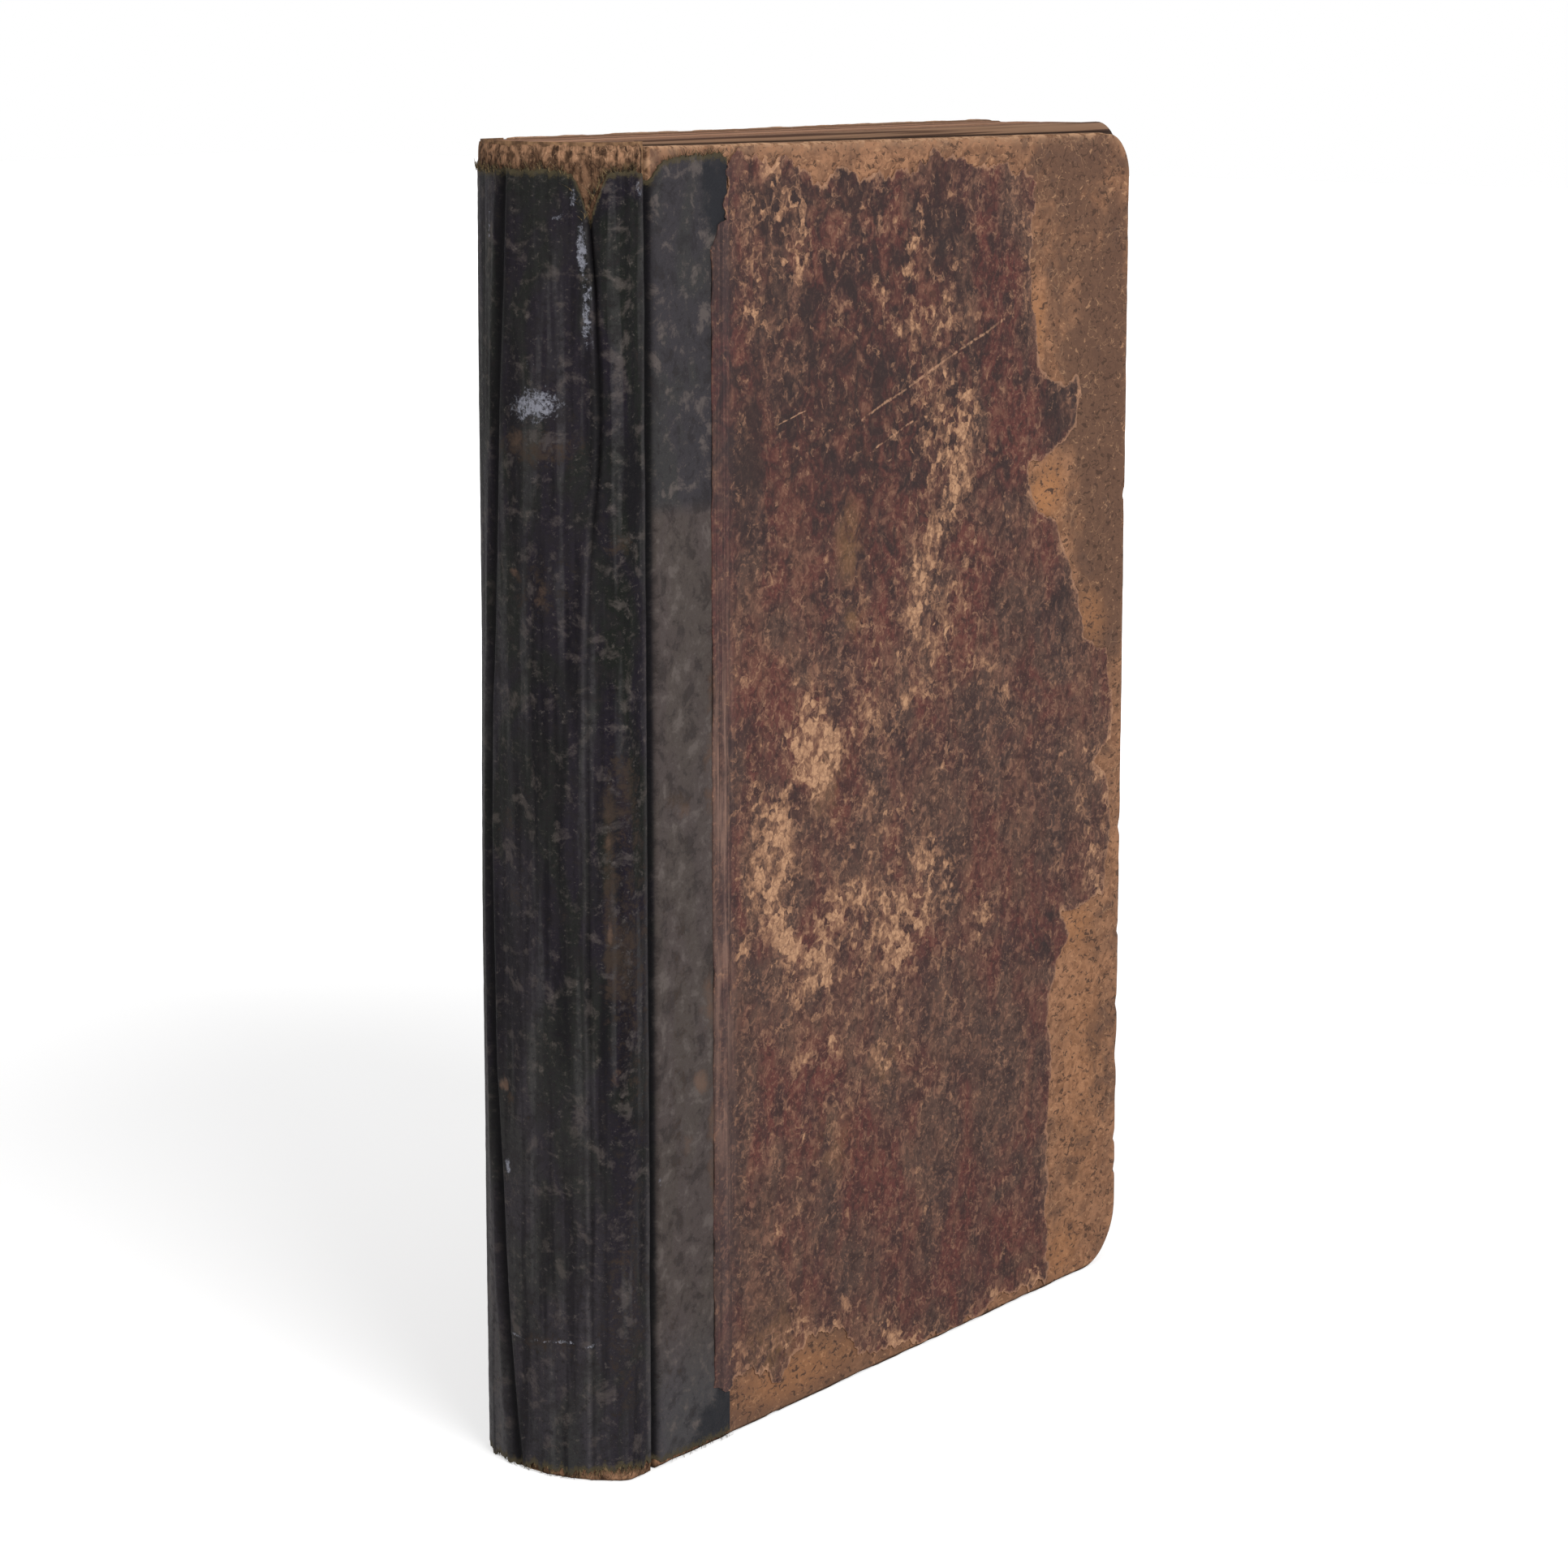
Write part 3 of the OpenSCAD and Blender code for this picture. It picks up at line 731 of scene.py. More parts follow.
def thread_piece(name, body, edges, span, count, seed, mat):
    """Short threads that stand out of the cloth's torn edges between two lengths along the back."""
    rng = np.random.default_rng(seed)
    s0, low, high = edges
    bends, sides = 5, 3
    t = np.linspace(0, 1, bends)
    verts, faces = [], []
    for k in range(count):
        start = rng.uniform(*span)
        way, edge = (1, high) if rng.random() < 0.55 else (-1, low)
        length = rng.uniform(0.6, 2.6)
        lean, curl, out = rng.normal(0, 0.45), rng.normal(0, 0.5), rng.uniform(0.0, 0.6)
        s = start + length * (lean * t + curl * t * t)
        z = np.interp(start, s0, edge) + way * length * (t - 0.25)
        z = np.clip(z, 0.15, BOOK_H - 0.3)
        x, y, nx, ny = back_path(s)
        h = cloth_relief(np.full(bends, start), z) - 0.1 + out * t
        thick = rng.uniform(0.06, 0.11) * (1 - 0.6 * t)
        for turn in np.arange(sides) * 2 * math.pi / sides:
            across, rise = thick * math.cos(turn), h + thick * math.sin(turn)
            verts.append(joined(x + nx * rise - ny * across, y + ny * rise + nx * across, z))
        start_at = k * bends * sides
        ring = np.arange(sides) * bends + start_at
        for i in range(bends - 1):
            faces += [[a + i, b + i, b + i + 1, a + i + 1] for a, b in zip(ring, np.roll(ring, -1))]
        faces += [ring[::-1].tolist(), (ring + bends - 1).tolist()]
    made = piece(name, np.concatenate(verts), faces, mat)
    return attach(made, body)


threads = thread_look()
thread_piece("front_spine_threads", "book_block", front_edges, (4.0, SEAM), 220, 51, threads)
thread_piece("rear_spine_threads", "book_block", rear_edges, (SEAM, S_END - 2), 360, 52, threads)
thread_piece("front_lap_threads", "front_cover", front_edges, (-LAP, -6.0), 100, 53, threads)


# Spine lining
def lining_piece():
    """Brown paper over the back, split into fibres where the cloth is lost."""
    s0 = np.linspace(1.6, S_END - 1.6, 200)
    share = stepped([0, 6, 280, BOOK_H], [14, 40, 46]) / BOOK_H
    high = BOOK_H - 0.2 - 0.7 * lattice(s0 / 1.1, 0, 41) - 0.5 * lattice(s0 / 0.4, 0, 44)
    low = 0.1 + 0.4 * lattice(s0 / 0.8, 0, 42)
    z = low + share[:, None] * (high - low)
    s = s0 + 0 * z
    bare = np.maximum(ease(z, 283, 297), fall(z, 1, 6))
    fuzz = rough(s / 1.6, z / 2.6, 43, 4)
    h = bare * (0.5 * fuzz + 0.05) - 0.55 - 0.7 * ease(z, 299.5, 302) * bare
    under = np.maximum(cloth_relief(s, z) - CLOTH_T - 0.08, -1.05)
    top = np.where(s < SEAM, np.interp(s, *front_edges[::2]), np.interp(s, *rear_edges[::2]))
    h = np.where(z < top + 0.5, np.minimum(h, under), h)
    near_fold = np.abs(cloth_lines(s, z)[3]) < 7
    h = np.where((z < top - 0.5) & near_fold, -1.06, h)
    outer = on_back(s, h, z)
    inner = on_back(s, np.minimum(h - 0.1, -1.08), z)
    # Painted shade: darker in the hollows of the fibre relief, where fuzz is low, plus a darker band just
    # below the head edge.
    dark = 0.7 * ease(-fuzz, 0.1, 0.55) + 0.5 * fall(z, 296.5, 299) * ease(z, 280, 290)
    # Painted shadow: a dark line along the bottom of the tail; also darker near the tail towards the rear
    # joint.
    foot = 0.9 * fall(z, 0.2, 0.9) + 0.6 * ease(s, 24, 34) * fall(z, 3, 6)
    dark = np.clip(np.maximum(dark, foot), 0, 0.9)
    fields = {"cloth": joined(s, z, 0 * z), "dark": dark}
    made = sheet_piece("frayed_lining", outer, inner, lining_look(), fields)
    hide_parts("spine_lining")
    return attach(made, "book_block")


lining_piece()


# Page block
def page_block():
    """The pages as groups of leaves, each trimmed a little differently, fanned out at the shoulders."""
    leaves = 104
    rng = np.random.default_rng(7)
    section = np.cumsum(rng.random(leaves) < 0.13)
    section_tone, section_inset = rng.random(leaves), 0.4 * rng.random(leaves)
    inset = 0.05 + 0.12 * rng.random(leaves) + section_inset[section]
    bounds = np.linspace(-PAGES_Y, PAGES_Y, leaves + 1)
    depth = HALF_T - BACK_Y
    along = np.concatenate([[0, 3, 6, 8, 10, 11.5, 13], np.linspace(16, 60, 4), np.linspace(80, 175, 5)])
    corner = np.linspace(0, math.pi / 2, 9)
    fore = np.linspace(0, 1, 8)[1:-1]
    rings, shade = [], []
    for k in range(leaves):
        tone = 0.25 * rng.random() + 0.75 * section_tone[section[k]]
        for y in (bounds[k], bounds[k + 1]):
            d = inset[k]
            spread = y * BACK_Y / PAGES_Y
            inner = max(BACK_R - depth, 1) ** 2 - spread**2
            end = ARC_X - math.sqrt(inner)
            if abs(spread) > (BACK_R - depth) * math.sin(ARC_HALF):
                end = ROUND_X - math.sqrt(max((SHOULDER_R - depth) ** 2 - (abs(spread) - ROUND_Y) ** 2, 0.01))
            xs = end + along * (FORE_X - TAIL_CORNER_R - end) / along[-1]
            tail = joined(xs, 0 * xs + d)
            r0, r1 = TAIL_CORNER_R - d, HEAD_CORNER_R - d
            low = tail_corner(FORE_X - d, d, r0, corner)
            top = BOOK_H - d
            up = d + r0 + fore * (top - r1 - d - r0)
            side = joined(0 * up + FORE_X - d, up)
            high = head_corner(FORE_X - d, top, r1, corner)
            head = joined(xs[::-1], 0 * xs + top)
            ring = np.concatenate([tail, low[1:], side, high[:-1], head])
            fan = ease(JOINT_X + 0.8 - ring[:, 0], 0, 5)
            yy = y * (1 + (BACK_Y / PAGES_Y - 1) * fan)
            rings.append(joined(ring[:, 0], yy, ring[:, 1]))
            shade.append(np.full(len(ring), tone))
    count = len(rings[0])
    faces = strips(len(rings), count, close=True)
    last = (len(rings) - 1) * count
    for j in range(count // 2 - 1):
        quad = [j, j + 1, count - 2 - j, count - 1 - j]
        faces.append(quad[::-1])
        faces.append([last + q for q in quad])
    fields = {"leaf": np.concatenate(shade)}
    made = piece("page_leaves", np.concatenate(rings), faces, page_look(), fields, 25)
    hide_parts("text_block")
    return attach(made, "book_block")


page_block()


# Boards
def board_ring(inset, head_loss_joint, head_loss_fore):
    """Outline of a board, drawn in by an inset, with the same points at every inset."""
    def line(a, b, n):
        return np.linspace(a, b, n, endpoint=False)

    x0, x1 = BOARD_X + inset, FORE_X - inset
    r0, r1 = max(TAIL_CORNER_R - inset, 0.4), max(HEAD_CORNER_R - inset, 0.4)
    z0 = inset
    h0, h1 = BOOK_H - head_loss_joint - inset, BOOK_H - head_loss_fore - inset
    turn = np.linspace(0, math.pi / 2, 18)
    tail = joined(line(x0, x1 - r0, 130), np.full(130, z0))
    low = tail_corner(x1, z0, r0, turn)
    side = joined(np.full(220, x1), line(z0 + r0, h1 - r1, 221)[1:])
    high = head_corner(x1, h1, r1, turn)
    head = joined(line(x1 - r1, x0, 131)[1:], line(h1, h0, 131)[1:])
    joint = joined(np.full(200, x0), line(h0, z0, 200))
    return np.concatenate([tail, low, side, high, head, joint])


def board_piece(name, body, node, side, head_loss_joint, head_loss_fore, mat, grime, fresh, bites, seed):
    """A millboard with worn edges, bitten along the fore-edge. side is -1 on the front and 1 on the back."""
    worn = 0.95
    quarter = np.linspace(0, math.pi / 2, 6)
    faces_in = np.concatenate([[92, 76, 62], np.arange(52, 1.4, -1.7)])
    profile = [(d, FACE_Y) for d in faces_in]
    profile += [(worn * (1 - math.sin(a)), FACE_Y - worn * (1 - math.cos(a))) for a in quarter]
    profile += [(0.0, y) for y in np.linspace(FACE_Y - worn, BOARD_Y + 0.5, 6)[1:]]
    profile += [(0.25, BOARD_Y + 0.12), (0.7, BOARD_Y), (4, BOARD_Y), (30, BOARD_Y), (92, BOARD_Y)]
    outline = board_ring(0, head_loss_joint, head_loss_fore)
    step = np.roll(outline, -1, 0) - np.roll(outline, 1, 0)
    length = np.maximum(np.linalg.norm(step, axis=1), 1e-6)
    normal = joined(step[:, 1], -step[:, 0]) / length[:, None]
    along = np.concatenate([[0], np.cumsum(np.linalg.norm(np.diff(outline, axis=0), axis=1))])
    on_fore = outline[:, 0] > FORE_X - 0.5
    rings, rim = [], []
    for inset, y in profile:
        flat = board_ring(inset, head_loss_joint, head_loss_fore)
        fade = math.exp(-inset / 1.6)
        nick = 0.3 * rough(along / 5, y / 2.5, seed, 4)
        nick -= 0.25 * ease(rough(along / 9, 0, seed + 5, 2), 0.3, 0.7)
        for bite, half in bites:
            nick -= 1.1 * on_fore * ridge(outline[:, 1] - bite, half)
        flat = flat + normal * (fade * np.minimum(nick, 0.12))[:, None]
        flat[:, 1] = np.maximum(flat[:, 1], 0.02)
        relief = -0.09 * (1 + rough(flat[:, 0] / 5, flat[:, 1] / 7, seed + 1, 3)) if y == FACE_Y else 0.0
        rings.append(joined(flat[:, 0], side * (y + relief + 0 * flat[:, 0]), flat[:, 1]))
        rim.append(np.full(len(flat), float(inset < 0.6)))
    count = len(rings[0])
    verts = np.concatenate(rings)
    first, last = list(range(count)), list(range(len(verts) - count, len(verts)))
    faces = strips(len(rings), count, close=True) + [first[::-1], last]
    if side < 0:
        faces = [f[::-1] for f in faces]
    x, z = verts[:, 0] - JOINT_X, verts[:, 2]
    deep = np.repeat([inset for inset, y in profile], count)
    at_head = ease(z, BOOK_H - 14, BOOK_H - 5)
    fields = {
        "rim": np.concatenate(rim),
        "grime": np.clip(spots(x, z, grime), 0, 1),
        "fresh": np.clip(spots(x, z, fresh), 0, 1),
        "rub": np.exp(-deep / 0.9) * (0.25 + 0.65 * at_head),
        # Painted shadow line along the tail edge, full at the floor and gone by 1.1 mm up.
        "foot": fall(z, 0.5, 1.1),
    }
    made = piece(name, verts, faces, mat, fields, 40)
    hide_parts(node)
    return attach(made, body)


millboard = millboard_look()
board_piece(
    "worn_front_board", "front_cover", "front_board", -1, HEAD_LOSS_JOINT, HEAD_LOSS_FORE, millboard,
    [
        (180, 275, 24, 40, 0.45), (184, 235, 14, 24, 1.1), (165, 290, 16, 10, 0.3),
        (189, 200, 13, 36, 1.1), (60, 6, 40, 12, 0.7), (190, 20, 10, 15, 0.2), (191, 270, 3.5, 9, 1.2),
        (180, 262, 4, 4, 1.0), (181, 292, 5, 4, 0.9), (172, 288, 3, 5, 0.9), (2, 297, 3, 5, 1.2),
        (194, 188, 3, 14, 1.2), (176, 110, 4, 9, 0.9), (186, 62, 3, 5, 0.9), (177, 28, 3, 4, 0.9),
    ],
    [
        (160, 210, 9, 7, 0.9, 30), (155, 253, 4, 9, 0.6), (182, 176, 6, 8, 0.5, 30), (55, 8, 25, 6, 0.5),
        (172, 8, 8, 8, 0.5), (176, 95, 8, 6, 0.4), (180, 60, 10, 40, 0.25),
    ],
    [(70, 1.6), (56, 3.4), (33, 1.2), (24.5, 1.0), (90, 1.0), (118, 1.4), (206, 1.0)], 61,
)
board_piece(
    "worn_back_board", "back_cover", "back_board", 1, 0.0, 0.0, millboard,
    [(190, 150, 8, 140, 0.5)], [(190, 290, 8, 8, 0.4)],
    [(40, 1.2), (150, 1.4), (236, 1.0)], 71,
)


# Side papers
TORN_TAIL = [
    (0.13, 0.040), (0.18, 0.050), (0.23, 0.033), (0.28, 0.047), (0.35, 0.050), (0.41, 0.014),
    (0.47, 0.010), (0.53, 0.009), (0.58, 0.004), (0.64, 0.005), (0.70, 0.011), (0.76, 0.010),
    (0.80, 0.007),
]
TORN_FORE = [
    (0.010, 0.167), (0.050, 0.177), (0.090, 0.167), (0.130, 0.177), (0.200, 0.167), (0.240, 0.177),
    (0.290, 0.157), (0.310, 0.126), (0.330, 0.146), (0.335, 0.045), (0.390, 0.030), (0.440, 0.040),
    (0.455, 0.070), (0.470, 0.030), (0.510, 0.030), (0.550, 0.045), (0.565, 0.096), (0.610, 0.121),
    (0.650, 0.152), (0.670, 0.172), (0.675, 0.202), (0.690, 0.227), (0.720, 0.232), (0.730, 0.177),
    (0.745, 0.121), (0.775, 0.111), (0.790, 0.126), (0.785, 0.157), (0.800, 0.207), (0.840, 0.222),
    (0.855, 0.237), (0.940, 0.227),
]
TORN_HEAD = [
    (0.77, 0.033), (0.71, 0.023), (0.66, 0.027), (0.61, 0.012), (0.553, 0.011), (0.51, 0.020),
    (0.464, 0.025), (0.43, 0.022), (0.375, 0.021), (0.349, 0.015), (0.328, 0.024), (0.307, 0.030),
    (0.283, 0.018), (0.26, 0.010), (0.15, 0.010),
]
BARE_HEAD = 17.0
BARE_TAIL = 14.0

WEAR = [
    (44, 136, 9, 14, 1.0, -8), (58, 161, 7, 12, 0.9, 25), (68, 156, 7, 8, 0.75), (50, 116, 5, 9, 0.7, 35),
    (62, 105, 8, 8, 0.8), (67, 118, 5, 5, 0.5), (80, 123, 11, 3.5, 0.6, 5), (96, 107, 8, 14, 0.65, 10),
    (112, 122, 11, 4, 0.5), (121, 224, 6, 17, 0.7, -6), (109, 228, 7, 12, 0.45),
    (104, 192, 6, 12, 0.75, -12), (112, 178, 6, 4, 0.5, 30), (55, 275, 6, 8, 0.6), (37, 272, 5, 16, 0.28),
    (46, 288, 12, 8, 0.12), (62, 287, 10, 8, 0.12), (112, 257, 7, 5, 0.5), (95, 253, 3, 3, 0.6),
    (98, 268, 4, 4, 0.6), (86, 264, 3, 3, 0.6), (47, 202, 4, 3, 0.7), (51, 209, 3, 3, 0.5),
    (36, 181, 10, 1.8, 0.55), (142, 158, 4, 6, 0.6, -20), (84, 165, 4, 3, 0.5),
    (104, 163, 9, 2, 0.45, -6), (131, 141, 6, 3, 0.4), (131, 104, 5, 5, 0.45), (138, 108, 3, 4, 0.45),
    (68, 86, 2.5, 3, 0.7), (91, 77, 7, 5, 0.5), (78, 69, 4, 4, 0.45), (57, 67, 3, 3, 0.45),
    (70, 60, 4, 3, 0.4), (78, 36, 1.5, 1.5, 0.8), (175, 130, 5, 4, 0.4), (186, 137, 4, 5, 0.6),
    (184, 112, 6, 10, 0.45), (30, 20, 6, 4, 0.6), (41, 17, 8, 5, 0.45), (54, 17, 8, 5, 0.45),
    (73, 19, 6, 6, 0.45), (88, 8, 8, 5, 0.45), (51, 45, 9, 1.4, 0.5, 20), (131, 172, 5, 2.5, 0.5),
    (148, 177, 4, 2, 0.5), (145, 207, 10, 1.2, 0.5, -10), (120, 287, 20, 5, 0.06), (85, 288, 20, 5, 0.06),
    (150, 270, 4, 18, 0.3), (101, 282, 2, 6, 0.5), (56, 86, 6, 4, 0.4), (32, 114, 8, 2.5, 0.5, 25),
    (112, 206, 5, 5, 0.5), (107, 112, 4, 6, 0.5), (117, 90, 4, 5, 0.4), (125, 84, 4, 3, 0.4),
    (30, 150, 3, 60, 0.22), (26, 230, 2, 60, 0.25), (100, 4, 8, 3, 0.6), (142, 5, 5, 3, 0.7),
    (155, 6, 6, 5, 0.5, 30), (88, 114, 55, 24, 0.24), (70, 140, 40, 34, 0.16), (116, 215, 22, 40, 0.22),
    (45, 275, 22, 22, 0.18), (100, 262, 40, 26, 0.1), (75, 80, 45, 30, 0.2), (70, 165, 50, 30, 0.12),
    (55, 20, 30, 14, 0.1), (180, 135, 16, 40, 0.25), (110, 175, 30, 20, 0.2), (42, 296.5, 12, 3, 0.4),
    (101, 275, 1.6, 3, 0.7), (101, 258, 1.8, 4, 0.7), (193, 150, 4, 30, 0.35),
]
RED = [
    (80, 245, 60, 50, 0.4), (90, 275, 22, 30, 0.5), (87, 232, 16, 20, 0.7), (50, 222, 14, 14, 0.5),
    (92, 192, 9, 16, 0.5), (44, 172, 12, 14, 0.4), (138, 262, 10, 24, 0.5), (140, 152, 12, 14, 0.4),
    (72, 140, 14, 14, 0.35), (86, 48, 14, 20, 0.5), (140, 30, 22, 16, 0.4), (60, 78, 16, 14, 0.35),
    (125, 195, 9, 18, 0.4), (28, 262, 6, 40, 0.35), (146, 225, 12, 12, 0.4), (120, 100, 14, 12, 0.3),
    (150, 95, 12, 10, 0.3),
]
DARK = [
    (80, 248, 75, 55, 0.7), (60, 190, 50, 40, 0.12), (150, 190, 30, 50, 0.15), (37, 232, 4, 8, 0.9),
    (125, 33, 3.5, 5, 0.8), (166, 230, 11, 9, 0.6), (98, 148, 5, 9, 0.6), (112, 167, 7, 5, 0.5),
    (165, 97, 9, 9, 0.5), (50, 288, 14, 8, 0.4), (112, 285, 8, 14, 0.5), (75, 290, 10, 7, 0.45),
    (150, 10, 12, 8, 0.4), (52, 150, 6, 3, 0.4), (157, 75, 10, 25, 0.3), (118, 112, 5, 5, 0.4),
    (170, 178, 10, 8, 0.4), (27, 115, 5, 20, 0.3), (94, 103, 4, 4, 0.5),
]
OCHRE = [
    (75, 205, 5, 9, 0.5), (77, 188, 4, 4, 0.5), (66, 150, 9, 9, 0.3), (55, 12, 20, 8, 0.3),
    (92, 76, 8, 5, 0.35), (70, 60, 8, 8, 0.25), (45, 20, 10, 8, 0.3),
]
SCRATCHES = [((80, 235), (140, 255), 0.42), ((86, 228), (101, 233), 0.3), ((45, 236), (58, 239), 0.15)]


def ragged(points, seed, amount, spacing=0.45):
    """A closed outline made dense and torn-looking."""
    points = np.asarray(points, float)
    step = np.roll(points, -1, 0) - points
    dense, normals, along, total = [], [], [], 0.0
    for p, d in zip(points, step):
        length = max(np.linalg.norm(d), 1e-6)
        n = max(int(length / spacing), 1)
        t = np.arange(n) / n
        dense.append(p + t[:, None] * d)
        normals.append(np.tile([d[1] / length, -d[0] / length], (n, 1)))
        along.append(total + t * length)
        total += length
    dense, normals, along = np.concatenate(dense), np.concatenate(normals), np.concatenate(along)
    shift = 1.0 * rough(along / 9, 0, seed, 2) + 0.9 * rough(along / 2.4, 5, seed + 1, 4)
    return dense + normals * (amount(dense) * shift)[:, None]


def in_parts(pts, measure, most=4000):
    """A measure of every point against a whole outline, so many points at a time."""
    return np.concatenate([measure(pts[k:k + most, None]) for k in range(0, len(pts), most)])


def inside(pts, outline):
    """Whether each point lies inside a closed outline."""
    a, b = outline, np.roll(outline, -1, 0)
    rise = b[:, 1] - a[:, 1]
    rise = np.where(rise == 0, 1e-9, rise)

    def odd(p):
        over = (a[:, 1] > p[..., 1]) != (b[:, 1] > p[..., 1])
        cut = a[:, 0] + (p[..., 1] - a[:, 1]) * (b[:, 0] - a[:, 0]) / rise
        return (over & (p[..., 0] < cut)).sum(1) % 2 == 1

    return in_parts(pts, odd)


def edge_distance(pts, outline, far=6.0):
    """Distance to the nearest point of a dense outline, up to a far one."""
    return in_parts(pts, lambda p: np.minimum(np.sqrt(((p - outline) ** 2).sum(-1).min(1)), far))


def inner_points(outline, spacing, seed, extra):
    """Points inside an outline, clear of its edge, on a jittered grid, with extra points added."""
    rng = np.random.default_rng(seed)
    low, high = outline.min(0), outline.max(0)
    gx, gz = np.meshgrid(np.arange(low[0], high[0], spacing), np.arange(low[1], high[1], spacing))
    pts = joined(gx.ravel(), gz.ravel()) + rng.uniform(-0.3, 0.3, (gx.size, 2)) * spacing
    pts = np.concatenate([pts, extra])
    return pts[inside(pts, outline) & (edge_distance(pts, outline) > 0.4 * spacing)]


def line_distance(x, z, a, b):
    d = np.array(b, float) - a
    t = np.clip(((x - a[0]) * d[0] + (z - a[1]) * d[1]) / (d @ d), 0, 1)
    return np.hypot(x - a[0] - t * d[0], z - a[1] - t * d[1])


def paper_piece(name, body, node, side, outline, marks, scratches, mat, seed):
    """Side paper cut to a torn outline. side is -1 on the front and 1 on the back."""
    up = np.linspace(1, BOOK_H - 1, 220)
    extra = [joined(np.full(len(up), LAP_X + d), up) for d in (-0.6, 0, 0.6, 1.2)]
    for a, b, width in scratches:
        a, b = np.array(a, float) + (JOINT_X, 0), np.array(b, float) + (JOINT_X, 0)
        t = np.linspace(0, 1, int(np.linalg.norm(b - a) / 0.5))[:, None]
        across = np.array([a[1] - b[1], b[0] - a[0]]) / np.linalg.norm(b - a)
        extra += [a + t * (b - a) + k * width * across for k in (-1.6, -0.7, 0, 0.7, 1.6)]
    inner = inner_points(outline, 1.25, seed, np.concatenate(extra))
    pts = np.concatenate([outline, inner])
    ring = list(range(len(outline)))
    flat, _, tris, _, _, _ = delaunay_2d_cdt([Vector(p) for p in pts.tolist()], [], [ring], 1, 1e-5)
    flat = np.array([tuple(p) for p in flat])
    edge = edge_distance(flat, outline)
    x, z = flat[:, 0] - JOINT_X, flat[:, 1]
    wx = x + 3.5 * rough(x / 8, z / 8, seed + 4, 3)
    wz = z + 5.0 * rough(x / 9, z / 12, seed + 5, 3)
    fields = {key: np.clip(spots(wx, wz, patches), 0, 1) for key, patches in marks.items()}
    fields["scratch"] = np.zeros(len(flat))
    for a, b, width in scratches:
        stray = 0.3 * rough(x / 6, z / 6, seed + 7, 2)
        d = line_distance(x - stray, z + stray, np.array(a, float), b)
        fields["scratch"] = np.maximum(fields["scratch"], fall(d, 0.5 * width, 2.2 * width))
    fields["torn"] = np.exp(-edge / 2.2) * ease(flat[:, 0], PAPER_X + 2, PAPER_X + 6)
    fields["fold"] = 0.8 * ridge(flat[:, 0] - PAPER_X - 4, 4.0)
    fields["pale"] = fields["fold"] * ease(z, 20, 110) * fall(z, 170, 215)
    on_cloth = fall(flat[:, 0], LAP_X - 0.3, LAP_X + 1.3)
    base = FACE_Y + (HALF_T - FACE_Y) * on_cloth
    lift = 0.3 * np.exp(-edge / 1.2) * ease(rough(x / 8, z / 8, seed + 3, 2), 0.0, 0.6)
    top = base + PAPER_T + lift + 0.05 * rough(x / 3, z / 5, seed + 2, 3) - 0.07 * fields["wear"]
    under = base + lift * 0.9
    count = len(flat)
    verts = np.concatenate([joined(flat[:, 0], side * y, flat[:, 1]) for y in (top, under)])
    tris = np.array(tris)
    pairs = np.concatenate([tris[:, [0, 1]], tris[:, [1, 2]], tris[:, [2, 0]]])
    seen = {tuple(p) for p in pairs.tolist()}
    border = np.array([p for p in pairs.tolist() if (p[1], p[0]) not in seen])
    walls = joined(border[:, 1], border[:, 0], border[:, 0] + count, border[:, 1] + count)
    faces = tris.tolist() + (tris[:, ::-1] + count).tolist() + walls.tolist()
    if side > 0:
        faces = [f[::-1] for f in faces]
    made = piece(name, verts, faces, mat, {k: np.concatenate([v, v]) for k, v in fields.items()}, 45)
    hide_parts(node)
    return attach(made, body)


def front_outline():
    points = [(PAPER_X, BARE_TAIL)]
    points += [(BOARD_X + a * BOARD_W, b * BOOK_H) for a, b in TORN_TAIL]
    points += [(FORE_X - b * BOARD_W, a * BOOK_H) for a, b in TORN_FORE]
    points += [(BOARD_X + a * BOARD_W, front_head(BOARD_X + a * BOARD_W) - b * BOOK_H) for a, b in TORN_HEAD]
    top = front_head(LAP_X) - BARE_HEAD
    points += [(LAP_X, top), (PAPER_X, top - (LAP_X - PAPER_X))]

    def amount(p):
        straight = fall(p[:, 0], PAPER_X + 1, PAPER_X + 5)
        fringe = ease(p[:, 1], 270, 285) + ease(-p[:, 1], -25, -12)
        return (1.15 + 1.5 * fringe) * (1 - 0.85 * straight)

    outline = ragged(points, 81, amount)
    outline[:, 1] = np.maximum(outline[:, 1], 0.8)
    return outline


def back_outline():
    margin = 2.0
    x1, z1 = FORE_X - margin, BOOK_H - margin
    r0, r1 = TAIL_CORNER_R - margin, HEAD_CORNER_R - margin
    turn = np.linspace(0, math.pi / 2, 12)
    points = [(PAPER_X, margin)]
    points += tail_corner(x1, margin, r0, turn).tolist()
    points += head_corner(x1, z1, r1, turn).tolist()
    points += [(PAPER_X, z1)]

    def amount(p):
        return 0.8 - 0.7 * fall(p[:, 0], PAPER_X + 1, PAPER_X + 5)

    return ragged(points, 91, amount)


paper = side_paper_look()
paper_piece(
    "torn_front_paper", "front_cover", "front_side_paper", -1, front_outline(),
    {"wear": WEAR, "red": RED, "dark": DARK, "ochre": OCHRE}, SCRATCHES, paper, 101,
)
BACK_WEAR = [
    (110, 150, 60, 90, 0.12), (190, 150, 8, 150, 0.35), (110, 296, 90, 6, 0.4), (110, 5, 90, 6, 0.4),
]
paper_piece(
    "worn_back_paper", "back_cover", "back_side_paper", 1, back_outline(),
    {"wear": BACK_WEAR, "red": [(90, 160, 60, 90, 0.3)], "dark": [(60, 250, 30, 30, 0.3)],
     "ochre": [(120, 60, 40, 30, 0.15)]}, [], paper, 111,
)


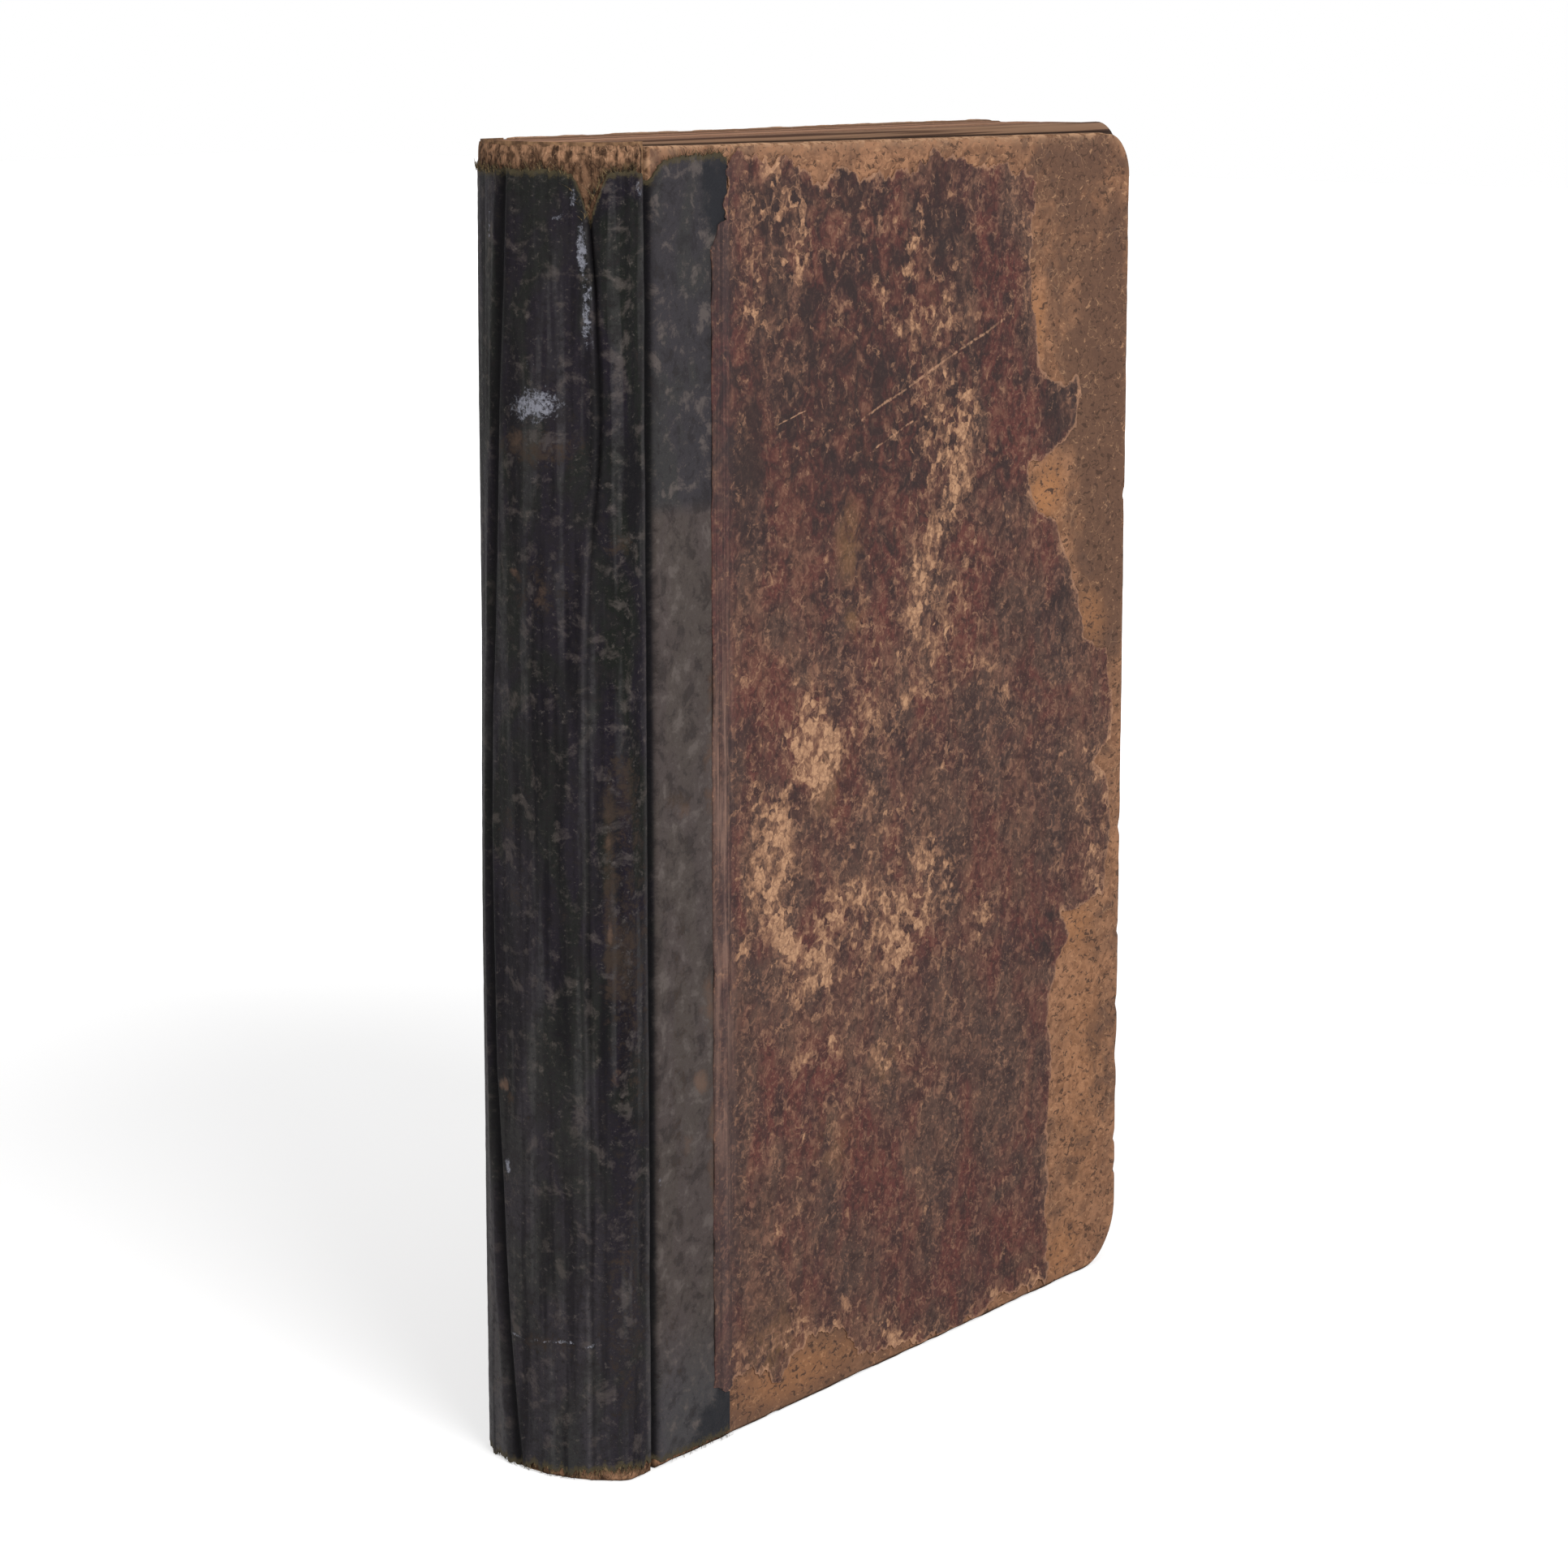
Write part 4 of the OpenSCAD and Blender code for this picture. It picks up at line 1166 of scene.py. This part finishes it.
# Endpapers
def gutter_piece(name, side):
    """Fold of an endpaper in the joint, from the shoulder of the pages to the edge of the board."""
    top_y = 19.1
    thick = 0.08
    plan = np.array([
        (4.0, PAGES_Y + 0.34), (1.2, PAGES_Y + 0.36), (0.45, PAGES_Y + 0.6), (0.22, PAGES_Y + 1.2),
        (0.2, 18.3), (0.3, 18.8), (0.5, top_y), (0.62, top_y), (0.78, 18.8), (0.84, 18.3),
        (0.84, BOARD_Y + 0.1),
    ])
    z = np.linspace(1.5, FRONT_HEAD - 1.5, 60)
    step = np.gradient(plan, axis=0)
    normal = joined(-step[:, 1], step[:, 0]) / np.linalg.norm(step, axis=1)[:, None]

    def layer(offset):
        p = plan + offset * normal
        grid = np.zeros((len(z), len(plan), 3))
        grid[..., 0] = JOINT_X + p[:, 0]
        grid[..., 1] = side * p[:, 1]
        grid[..., 2] = z[:, None]
        return grid

    made = sheet_piece(name, layer(0.0), layer(-thick), gutter_look, {})
    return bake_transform(made)


gutter_look = endpaper_look("gutter_paper", "rest")
leaf_look = endpaper_look("endpaper", None)
# The front flyleaf takes the painted shadow line along the front board's head.
shadowed_flyleaf_look = endpaper_look("shadowed_endpaper", None, 0.9)
gutter_piece("front_gutter", -1)
gutter_piece("back_gutter", 1)


def paint(node, mat):
    """Gives a solid of the frame a better material."""
    solid = frame["nodes"][node]
    solid.data.materials.clear()
    solid.data.materials.append(mat)


for leaf in ("back_flyleaf", "front_pastedown", "back_pastedown"):
    paint(leaf, leaf_look)
paint("front_flyleaf", shadowed_flyleaf_look)
paint("sewing_tapes", woven_look("tape", (176, 164, 140), (214, 204, 182), 0.8))
paint("spine_mull", woven_look("mull", (84, 62, 46), (138, 106, 78), 1.4))


# Stage
WHITE = (1.0, 1.0, 1.0, 1.0)


def floor_look():
    """Pale floor that the camera sees near white, with the object's shadow kept."""
    look = material("floor", None)
    spot = look.node("ShaderNodeTexCoord", {}, "Object")
    away = look.node("ShaderNodeVectorMath", {0: spot}, "Value", operation="LENGTH")
    glow = look.add((look.step(away, 0.25, 1.1), 0.6), (1.0, 0.47))
    look.fill(look.tree.nodes["Principled BSDF"], {
        "Base Color": (0.8, 0.8, 0.8, 1.0), "Roughness": 0.9, "Specular IOR Level": 0.1,
        "Emission Color": WHITE, "Emission Strength": look.times(look.seen(), glow),
    })
    return look.owner


def make_stage():
    mesh = bpy.data.meshes.new("floor")
    reach = 6.0
    around = [(-reach, -reach, 0), (reach, -reach, 0), (reach, reach, 0), (-reach, reach, 0)]
    mesh.from_pydata(around, [], [(0, 1, 2, 3)])
    mesh.materials.append(floor_look())
    floor = add_object("floor", mesh)

    world = bpy.data.worlds.new("studio")
    bpy.context.scene.world = world
    sky = Look(world, None)
    level = sky.node("ShaderNodeMapRange", {"Value": sky.seen(), "To Min": 0.45, "To Max": 1.0})
    sky.fill(sky.tree.nodes["Background"], {"Color": WHITE, "Strength": level})


def aimed(name, data, place, aim):
    """A lamp or camera at a place, turned along an aim."""
    made = add_object(name, data)
    made.location = place
    made.rotation_euler = aim.to_track_quat("-Z", "Y").to_euler()
    return made


def make_lamp(name, place, size, power):
    data = bpy.data.lights.new(name, "AREA")
    data.shape = "DISK"
    data.size = size
    data.energy = power
    middle = Vector((0, 0, 0.15))
    aimed(name, data, place, middle - Vector(place))


def make_camera():
    """Camera at the photograph's viewing angle, fitted to the edges of the book."""
    frame_px = 1932
    focal_px = 4847.5
    place = Vector((-0.7594, -0.5591, 0.3302))
    yaw, pitch = math.radians(36.84), math.radians(9.82)
    data = bpy.data.cameras.new("camera")
    data.sensor_width = 36.0
    data.lens = focal_px / frame_px * data.sensor_width
    data.shift_y = -0.06
    data.clip_start = 0.01
    data.clip_end = 50
    aim = Vector((math.cos(yaw) * math.cos(pitch), math.sin(yaw) * math.cos(pitch), -math.sin(pitch)))
    bpy.context.scene.camera = aimed("camera", data, place, aim)


make_stage()
make_lamp("key", (-0.55, -1.45, 1.15), 1.1, 24)
make_lamp("fill", (-1.7, -0.2, 0.9), 1.2, 9)
make_camera()
bpy.context.scene.view_settings.view_transform = "Standard"
